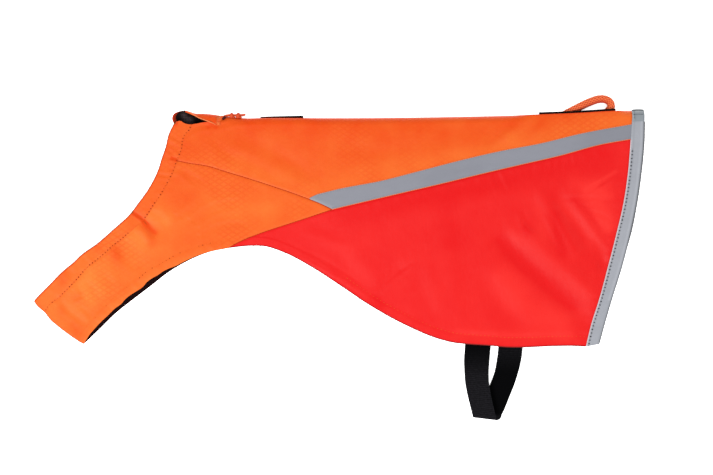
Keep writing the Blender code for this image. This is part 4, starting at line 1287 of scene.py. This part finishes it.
def casing_grid(nape_edge, cells, back, end):
    """Columns from the centre-front fold to the nape, rows from the neck edge in."""
    rows = CASING_ROWS * DETAIL
    neck_edge = joined(along(NECK_EDGE, BAND_CELLS * DETAIL), along(nape_edge, cells * DETAIL))
    return coons(neck_edge, joined(SEAM["stitch"], SEAM[back]), along(CASING_FOLD, rows), along(end, rows))


def folded(name, node, near_grid, far_grid, proud, thickness, piece, inside, rounding=0.22):
    """A piece that lies on itself: its near side, the fold at the centre front, its far side."""
    inward = unit(near_grid[:, 1] - near_grid[:, 0])[:, None]
    near_places = near_grid[:, :0:-1]
    far_places = far_grid[:, 1:]
    edge = near_grid[:, :1]
    turn = np.linspace(0.0, math.pi, FOLD_STEPS + 1)[None, :]
    low_edge = far_heights(edge, piece)
    high = outer_height(edge) + proud + crease_height(edge, piece)
    grids = []
    for depth in (0.0, thickness):
        reach = depth + (CHEST_ROLL - depth) * (1 - np.sin(turn))
        rise = depth + low_edge + (high - low_edge - 2 * depth) / 2 * (1 + np.cos(turn))
        fold = np.concatenate([edge + inward * reach[..., None], rise[..., None]], axis=-1)
        low = far_heights(far_places, piece)[..., None] + depth
        grids.append(np.concatenate([near_points(near_places, depth - proud, piece), fold,
                                     np.concatenate([far_places, low], axis=-1)], axis=1))
    middle = grids[0][:, near_places.shape[1]:-far_places.shape[1], :2]
    tone = shade(np.concatenate([near_places, middle, far_places], axis=1), piece)
    wall(name, node, *grids, tone, ORANGE_CLOTH, inside, rounding=rounding)


def make_back():
    grid, stripe_from = back_grid(SEAM, DETAIL)
    near_shell("back_left_cloth", "back_left", grid, ORANGE_CLOTH, "back", inside=ORANGE_INSIDE)
    near_shell("stripe_left_tape", "stripe_left", grid[1:STRIP_ROWS + 2, stripe_from:], STRIPE_TAPE, "back",
               -STRIPE_PROUD, STRIPE_THICK, painted_shading_of="stripe")
    far_shell("back_right_cloth", "back_right", far_back_grid(FAR_SEAM), ORANGE_CLOTH, "back",
              inside=ORANGE_INSIDE)
    lower = joined(FAR_SEAM["shoulder"], FAR_SEAM["flank"])[STRIPE_START_CELL * FAR_DETAIL + 1:]
    top = along(STRIPE_TOP, len(lower) - 1)
    grid = blend((lower + (0.0, STRIPE_CLEAR))[None], top[None], shares(STRIP_ROWS))
    far_shell("stripe_right_tape", "stripe_right", grid, STRIPE_TAPE, None, FAR_STRIPE_THICK)


def make_sides():
    near_shell("side_left_cloth", "side_left", side_grid(SEAM, DETAIL), RED_CLOTH, "side",
               inside=RED_INSIDE)
    far_shell("side_right_cloth", "side_right", side_grid(FAR_SEAM, FAR_DETAIL), RED_CLOTH, "side",
              inside=RED_INSIDE)


def make_chest():
    near = chest_grid(LEG_EDGE_SEEN, SEAM, DETAIL)
    far = chest_grid(LEG_EDGE_FAR, SEAM, DETAIL)
    folded("chest_cloth", "chest_panel", near, far, 0.0, SHELL, "chest", DARK_LINING)
    under = chest_grid(LEG_EDGE_FAR, FAR_SEAM, FAR_DETAIL)
    under = under[:, FAR_DETAIL // 2: BAND_CELLS * FAR_DETAIL + 1]
    far_shell("chest_lining_mesh", "chest_lining", under, DARK_LINING, "chest", LINING_THICK,
              lift=SHELL + LINING_GAP)


def make_casing():
    near = casing_grid(NAPE_EDGE, CASING_BACK_CELLS, "casing back", CASING_END)
    far = casing_grid(NAPE_EDGE_FAR, FAR_CASING_CELLS, "casing back far", CASING_END_FAR)
    folded("neck_casing_cloth", "neck_casing", near, far, CASING_STANDS, CASING_THICK, "casing",
           ORANGE_INSIDE, CASING_ROUNDING)


def make_nape():
    rolled = [row[0] for row in roll_rows(BACK_RIDGE_START, BINDING_INNER_TOP[0], 1)]
    count = NAPE_CELLS * DETAIL
    rim = along(NAPE_RIM + (nape_corner(),), count)
    xs = np.linspace(rim[0][0], rolled[-1][0], count + 1)
    top = np.stack([xs, ridge(xs)], axis=1)
    grid = coons(rim, top, straight(rim[0], top[0], len(rolled) - 1), np.array(rolled))
    near_shell("nape_casing_cloth", "nape_casing", grid, ORANGE_CLOTH, "nape", thickness=NAPE_THICK,
               inside=ORANGE_INSIDE)


FACING_TOP = spots("""
    152,318 151,322 153,326 156.6,328 161.5,328.4 167.5,325 175,323.3 184.5,322.6 190,320.8""")
FACING_LOW = spots("159,305 167,300.5 190,307")
FACING_COLUMNS = 40
FACING_ROWS = 14


def make_nape_facing():
    top = along(FACING_TOP, FACING_COLUMNS)
    bottom = along(FACING_LOW, FACING_COLUMNS)
    grid = coons(bottom, top, straight(bottom[0], top[0], FACING_ROWS),
                 straight(bottom[-1], top[-1], FACING_ROWS))
    far_shell("nape_facing_mesh", "nape_facing", grid, NAPE_LINING, "facing", FACING_THICK, lift=FOOT)


def make_binding():
    """The tape that folds round the hem, and its join at the centre back."""
    xs = np.array((BINDING_INNER_TOP[0], BINDING_OUTER[0][0]))
    rows = [np.stack([xs, ridge(xs) - ROLL * (1 - math.sin(turn))], axis=1)
            for turn in np.linspace(0.0, math.pi / 2, ROLL_CELLS + 1)]
    below = along(BINDING_INNER, SHOULDER_CELLS * DETAIL)
    top_rows = BINDING_TOP_ROWS * DETAIL
    inner = joined(straight(BINDING_INNER_LOW_JOIN, BINDING_INNER[0], top_rows), below)
    outer = along(BINDING_OUTER, len(inner) - 1)
    sides = np.concatenate([np.array(rows[::-1]), np.stack([inner, outer], axis=1)])
    share = shares(BINDING_COLUMNS, down=False)
    grid = blend(sides[:, :1], sides[:, 1:], share)
    near_shell("hem_binding_left_tape", "hem_binding_left", grid, BINDING_TAPE, "binding",
               -BINDING_PROUD, BINDING_THICK)
    near_shell("hem_binding_join_tape", "hem_binding_join", grid[:len(rows) + 2], JOIN_TAPE, "binding",
               -JOIN_PROUD, JOIN_THICK, painted_shading_of="join")
    far_inner = joined(straight(BINDING_INNER_TOP, BINDING_INNER[0], top_rows), below)
    far_top = (BINDING_OUTER[0][0], ridge(BINDING_OUTER[0][0]))
    far_outer = along((far_top,) + BINDING_OUTER[1:], len(far_inner) - 1)
    far_shell("hem_binding_right_tape", "hem_binding_right",
              blend(far_inner[:, None], far_outer[:, None], share), BINDING_TAPE, None,
              FAR_BINDING_THICK)


SLIT_TAPES = (
    # name, from x, to x, reach beyond the edge at the front, at the rear, gap under the edge
    ("slit_tape_front", 241, 286.5, 1.1, 2.4, 0.5),
    ("slit_tape_rear", 536, 617, 2.1, 2.1, 0.8),
)
SLIT_TAPE_INSIDE = 9.0
SLIT_TAPE_THICK = 0.8
SLIT_TAPE_COLUMNS = 14
SLIT_TAPE_FINE = 1.5      # points a millimetre
RIB_SIZE = (0.04, 1.8)    # height, pitch


def make_slit_tapes():
    rib_height, rib_pitch = RIB_SIZE
    for name, start, end, front_reach, rear_reach, under in SLIT_TAPES:
        xs = np.linspace(start, end, int((end - start) * SLIT_TAPE_FINE) + 1)
        reach = front_reach + (rear_reach - front_reach) * ((xs - start) / (end - start))
        height = foot_height(xs) - under + rib_height * np.sin(xs * math.tau / rib_pitch)
        across = np.linspace(-SLIT_TAPE_INSIDE, 1.0, SLIT_TAPE_COLUMNS)[:, None]
        ys = ridge(xs)[None] + np.where(across < 0, across, across * reach)
        outer = np.stack([np.broadcast_to(xs, ys.shape), ys, np.broadcast_to(height, ys.shape)], axis=-1)
        wall(name + "_woven", name, outer, outer - (0, 0, SLIT_TAPE_THICK), np.full(ys.shape, MIDDLE_TONE),
             BLACK_TAPE, rounding=0.2)


WEBBING = 1.5
STRAP_ROWS = 520
STRAP_COLUMNS = 24
STRAP_KEYS = 40
RIB_PITCH = 2.1
RIB_HEIGHT = 0.16
STRAP_BEND_STEPS = 12
RIB_MIDDLE = 0.6
WEBBING_CLEAR = 0.1
STRAP_EDGE = (0.42, 0.08, 0.5)    # where the edge starts, its width, how far it thins
# Painted shade between the ribs and painted light on them; how light the strap is painted along its length.
RIB_TONES = (0.25, 0.75)          # between the ribs, and how much more on them
STRAP_TONE_AT = (0, 20, 32, 50, 85, 97, 105, 150, 175, 200)
STRAP_TONE = (0.0, 0.1, 0.35, 1.0, 1.1, 1.6, 0.05, 0.02, 0.5, 0.9)


def make_strap():
    """The belly strap: webbing with ribs across it, folded into one loop."""
    near_leg, far_leg = [along(leg, STRAP_KEYS)[:, (0, 1, 4, 2, 3, 4)].reshape(-1, 2, 3)
                         for leg in (STRAP_NEAR, STRAP_FAR)]
    turn = np.linspace(0.0, math.pi, STRAP_BEND_STEPS + 1)[1:-1, None, None]
    bend = near_leg[-1] + (far_leg[0] - near_leg[-1]) * (1 - np.cos(turn)) / 2
    bend = bend + np.array(STRAP_BULGE) * np.sin(turn)
    keys = np.concatenate([near_leg, bend, far_leg])
    front, rear = along(keys[:, 0], STRAP_ROWS), along(keys[:, 1], STRAP_ROWS)
    share = shares(STRAP_COLUMNS, down=False)
    middle = blend(front[:, None], rear[:, None], share)
    across = np.broadcast_to(middle[:, -1:] - middle[:, :1], middle.shape)
    normal = unit(np.cross(across, np.gradient(middle, axis=0)))
    distance = distances(front)
    wave = np.abs(np.sin(math.pi * distance / RIB_PITCH))[:, None]
    edge_from, edge_width, thinner = STRAP_EDGE
    edge_share = np.clip((np.abs(share[0, :, 0] - 0.5) - edge_from) / edge_width, 0.0, 1.0)
    rib = RIB_HEIGHT * (wave - RIB_MIDDLE) * (1.0 - edge_share[None, :] ** 2 * thinner)
    half = (WEBBING / 2 - WEBBING_CLEAR + rib)[..., None]
    width = np.linalg.norm(across[:, 0], axis=1)[:, None]
    uv = np.stack([share[..., 0] * width, np.broadcast_to(distance[:, None], middle.shape[:2])], axis=-1)
    fade = np.interp(distance, STRAP_TONE_AT, STRAP_TONE)[:, None]
    tone = fade * (RIB_TONES[0] + RIB_TONES[1] * wave) * np.ones_like(share[..., 0])
    wall("belly_strap_webbing", "belly_strap", middle + normal * half, middle - normal * half, tone,
         BLACK_WEBBING, uv=uv, rounding=0.3)


make_back()
make_sides()
make_chest()
make_casing()
make_nape()
make_nape_facing()
make_binding()
make_slit_tapes()
make_strap()

# ---------------------------------------------------------------- threads
STITCH_RINGS = np.array(((0.0, 0.3), (0.2, 0.85), (0.5, 1.0), (0.8, 0.85), (1.0, 0.3)))
STITCH_SIDES = 6
STITCH_POINTS = 400
STITCH_SEED = 5
STITCH_SAG = 1.2
CASING_LINE = beside(CASING_STITCH, 0.9)
LEG_LINE = spots("""
    51.4,94.3 68.4,112 92.2,136.7 109.7,148.9 123.5,160.6 131.4,164.5 154.4,177.6 172.3,184.2 188,188.5""")
BINDING_LINE = beside(((632.6, 290),) + BINDING_INNER[1:], 2.55)
BINDING_RIM = spots("647.8,317 647.5,298 644.6,264 639.9,230 633,196 628.1,179")
JOIN_LINES = (spots("635.5,324.2 641,324.5 646,324.3"), spots("636.8,328.5 636.8,319.8"))
# Rows of stitches: piece, how far they stand proud of it, curve.
CASING_SEWN = [("casing", CASING_STANDS, row)
               for row in (CASING_LINE[:10], CASING_LINE[11:], beside(CASING_TO_BACK, 0.9))]
LEG_SEWN = [("chest", 0.0, LEG_LINE)]
HEMS_SEWN = LEG_SEWN + [("side", 0.0, beside(FLANK_HEM[5:], 10.4))]
# Painted shadow lines along the seams.
SEAMS_SEWN = [("chest", 0.0, SHOULDER_TO_STRIPE), ("side", 0.0, FLANK_FRONT_SEAM)]
BINDING_SEWN = [("binding", BINDING_PROUD, BINDING_LINE)]
# Painted highlight along the binding's inner edge.
BINDING_INSIDE = [("binding", BINDING_PROUD, beside(BINDING_INNER, 0.5))]
# Painted shade along the binding's outer edge.
BINDING_OUTSIDE = [("binding", BINDING_PROUD, BINDING_RIM)]
JOIN_SEWN = [("binding", BINDING_PROUD + 0.5, row) for row in JOIN_LINES]
STRIPE_SEWN = [("back", STRIPE_PROUD, beside(STRIPE_TOP, -1.2)),
               ("back", STRIPE_PROUD, beside(FLANK_SEAM, STRIPE_CLEAR + 1.3))]
# Painted highlight along the stripe's edges.
STRIPE_RIMS = [("back", 0.3, beside(STRIPE_TOP, 0.35)), ("back", 0.3, beside(FLANK_SEAM, 0.35))]
# Some rows are no thread: the needle holes are dark dots of painted shade, the binding's edge line is
# painted shade, the seam lines are painted shadow, and the lines along the binding's inner edge and the
# stripe's edges are painted highlights.
STITCHES = (
    # name, rows, thread, pitch, length, radius, lift, where the first is in its pitch, unevenness
    ("stitches_casing", CASING_SEWN, ORANGE_THREAD, 3.5, 2.4, 0.2, -0.02, 0.5, 0.0),
    ("needle_holes_casing", CASING_SEWN, HOLE_SHADE_AND_THREADS, 3.5, 1.4, 0.8, 0.15, 1.0, 0.7),
    ("stitches_hems", HEMS_SEWN, ORANGE_THREAD, 4.2, 2.8, 0.2, -0.04, 0.5, 0.0),
    ("needle_holes_leg_hem", LEG_SEWN, HOLE_SHADE_AND_THREADS, 4.2, 1.1, 0.62, 0.06, 1.0, 0.95),
    ("seam_shadow_lines", SEAMS_SEWN, SEAM_DARK, 3.0, 3.9, 0.36, 0.14, 0.5, 0.0),
    ("stitches_binding", BINDING_SEWN, GREY_THREAD, 3.85, 2.6, 0.26, 0.05, 0.5, 0.0),
    ("needle_holes_binding", BINDING_SEWN, DARK_THREAD_AND_SHADE, 3.85, 1.6, 0.95, 0.3, 1.0, 0.25),
    ("binding_inner_highlight", BINDING_INSIDE, INNER_EDGE_HIGHLIGHT, 2.6, 3.4, 0.42, 0.1, 0.5, 0.0),
    ("binding_edge_shade", BINDING_OUTSIDE, DARK_THREAD_AND_SHADE, 3.0, 3.2, 0.5, -1.0, 0.5, 0.0),
    ("stitches_join", JOIN_SEWN, DARK_THREAD_AND_SHADE, 2.6, 3.4, 0.24, 0.0, 0.5, 0.0),
    ("stitches_stripe", STRIPE_SEWN, GREY_THREAD, 3.2, 2.5, 0.24, 0.04, 0.5, 0.0),
    ("stripe_edge_highlight", STRIPE_RIMS, ORANGE_HIGHLIGHT, 2.5, 2.2, 0.42, 0.1, 0.5, 0.0),
)


def stitches(name, rows, made_of, pitch, length, radius, lift, first, uneven):
    """Short threads that dip into the cloth at both ends, along curves of the plan on given pieces."""
    at_share, size = STITCH_RINGS.T
    rings = len(STITCH_RINGS)
    points, faces = [], []
    for piece, proud, curve in rows:
        line = along(curve, STITCH_POINTS)
        distance = distances(line)
        count = int(distance[-1] / pitch)
        middles = (np.arange(count) + first) * distance[-1] / count
        sunk = np.random.default_rng(STITCH_SEED + count).uniform(0.0, uneven, count)
        at = middles[:, None] + (at_share - 0.5)[None] * length
        places = np.stack([np.interp(at, distance, axis) for axis in line.T], axis=-1)
        centre = near_points(places, -proud, piece)
        centre[..., 2] += lift - sunk[:, None] - radius * STITCH_SAG * (2 * at_share - 1) ** 2
        run = unit(places[:, -1] - places[:, 0])
        side = np.stack([-run[:, 1], run[:, 0], np.zeros(count)], axis=-1)
        start = sum(len(p) for p in points)
        for turn in math.tau * np.arange(STITCH_SIDES) / STITCH_SIDES:
            around = side[:, None] * math.cos(turn) + np.array((0.0, 0.0, 1.0)) * math.sin(turn)
            points.append((centre + around * (radius * size)[None, :, None]).reshape(-1, 3))
        for i in range(count):
            ring = [[start + (s * count + i) * rings + r for s in range(STITCH_SIDES)]
                    for r in range(rings)]
            for low, high in zip(ring, ring[1:]):
                for s in range(STITCH_SIDES):
                    t = (s + 1) % STITCH_SIDES
                    faces.append((low[s], low[t], high[t], high[s]))
            faces.append(tuple(reversed(ring[0])))
            faces.append(tuple(ring[-1]))
    mesh_piece(name, np.concatenate(points), faces, made_of)


for stitch_row in STITCHES:
    stitches(*stitch_row)

# Places of the small round things.
NAPE_RIM_ROLL = spots("""
    161.5,328.6 165.5,327 170.1,324.7 175.6,321.5 181,319.4 187,317.2 191,315.5 194,313.8""")
TACK_LEFT, TACK_RIGHT, TACK_LOW, TACK_HIGH, TACK_ZIGS = (194.9, 198.3, 313.4, 323.2, 12)
CORD_TUNNEL = spots("196.5,317.8 199,319.6 201.6,321.6")
CORD_HOLE = spots("201.2,318.4 204,320.6")
JOIN_FOLD = spots("635.2,328.4 641,328.7 647,328.4")
JOIN_FOLD_OUT = (0.0, -0.3, -0.1)
LOOSE_THREADS = (
    # plan places of each thread, from the cloth's edge outwards
    spots("233.7,185.8 234,184.2 233.2,183"),
    spots("240.6,185.8 240.9,184.2 242,183.2"),
    spots("256.1,182 256.4,180.3 255.6,179.4"),
    spots("345.6,131.4 346,129.6 345.2,128.6"),
    spots("144.6,304.6 143.2,304.2 142.4,303.4"),
)
THREAD_INSIDE = 2.0
THREAD_BELOW = 0.9
THREAD_FALL = 0.4
TACK = [(TACK_LEFT if i % 2 else TACK_RIGHT, y)
        for i, y in enumerate(np.linspace(TACK_LOW, TACK_HIGH, 2 * TACK_ZIGS))]


def hanging(thread_line):
    """A loose thread's places, which fall from the cloth's edge."""
    heights = outer_height(np.array(thread_line) + (0.0, THREAD_INSIDE)) - THREAD_BELOW
    return tuple((x, y, heights[i] - THREAD_FALL * i) for i, (x, y) in enumerate(thread_line))


def tube(name, paths, radius, made_of, sides=8, ends=0.5):
    """Round threads or rolled edges along paths, in one piece."""
    points, faces = [], []
    for path in paths:
        path = along(path, 8 * len(path))
        share = np.linspace(0.0, 1.0, len(path))
        size = radius * np.minimum(1.0, ends + (1 - ends) * np.minimum(share, 1 - share) * 8)
        turn = np.linspace(0.0, math.tau, sides, endpoint=False)[None, :]
        faces += tube_faces(len(path), sides, sum(len(p) for p in points))
        points.append((path[:, None] + rings_round(path, turn) * size[:, None, None]).reshape(-1, 3))
    mesh_piece(name, np.concatenate(points), faces, made_of)


# Painted highlight along the rim of the mouth.
tube("nape_rim_roll", [on_cloth(NAPE_RIM_ROLL, 0.1)], 0.55, ORANGE_HIGHLIGHT)
tube("nape_bartack", [on_cloth(TACK, 0.3)], 0.42, TACK_THREAD)
tube("cord_tunnel", [on_cloth(CORD_TUNNEL, 1.2)], 2.1, ORANGE_THREAD, sides=16)
# Painted shade: a dark cap over the cord where it leaves its hole.
tube("cord_hole_shade", [on_cloth(CORD_HOLE, 2.6)], 1.5, CORD_HOLE_SHADE, sides=12)
# Painted shade along the join's folded top edge.
tube("join_fold", [np.array(on_cloth(JOIN_FOLD, 1.4)) + JOIN_FOLD_OUT], 0.85, FOLD_SHADE, sides=10,
     ends=0.8)
tube("loose_threads", [hanging(line) for line in LOOSE_THREADS], 0.28, HOLE_SHADE_AND_THREADS, sides=6)

# ---------------------------------------------------------------- the studio
FLOOR_SIZE = 12.0
FLOOR_GLOW = 0.7
SKY_STRENGTH = 1.06
WHITE = (1.0, 1.0, 1.0, 1.0)
LIGHTS = (
    # name, place, width, power
    ("key light", (-0.85, -1.2, 1.75), 1.1, 77.5),
    ("fill light", (1.4, 1.3, 1.0), 1.8, 27.5),
)


def make_studio():
    mesh = bpy.data.meshes.new("studio_floor")
    half = FLOOR_SIZE / 2
    mesh.from_pydata([(-half, -half, 0.0), (half, -half, 0.0), (half, half, 0.0), (-half, half, 0.0)], [],
                     [(0, 1, 2, 3)])
    pale = Look("studio floor", None, roughness=0.9, specular=0.1)
    pale.set("Base Color", (0.96, 0.96, 0.96, 1.0))
    pale.set("Emission Color", WHITE)
    pale.set("Emission Strength", FLOOR_GLOW)
    mesh.materials.append(pale.made)
    add_object("studio_floor", mesh)
    for name, place, size, power in LIGHTS:
        data = bpy.data.lights.new(name, "AREA")
        data.shape = "DISK"
        data.size = size
        data.energy = power
        light = add_object(name, data)
        light.location = place
        light.rotation_euler = (-Vector(place)).to_track_quat("-Z", "Y").to_euler()
    surroundings = bpy.data.worlds.new("studio")
    surroundings.use_nodes = True
    background = surroundings.node_tree.nodes["Background"]
    background.inputs["Color"].default_value = WHITE
    background.inputs["Strength"].default_value = SKY_STRENGTH
    bpy.context.scene.world = surroundings
    bpy.context.scene.view_settings.view_transform = "Standard"


make_studio()
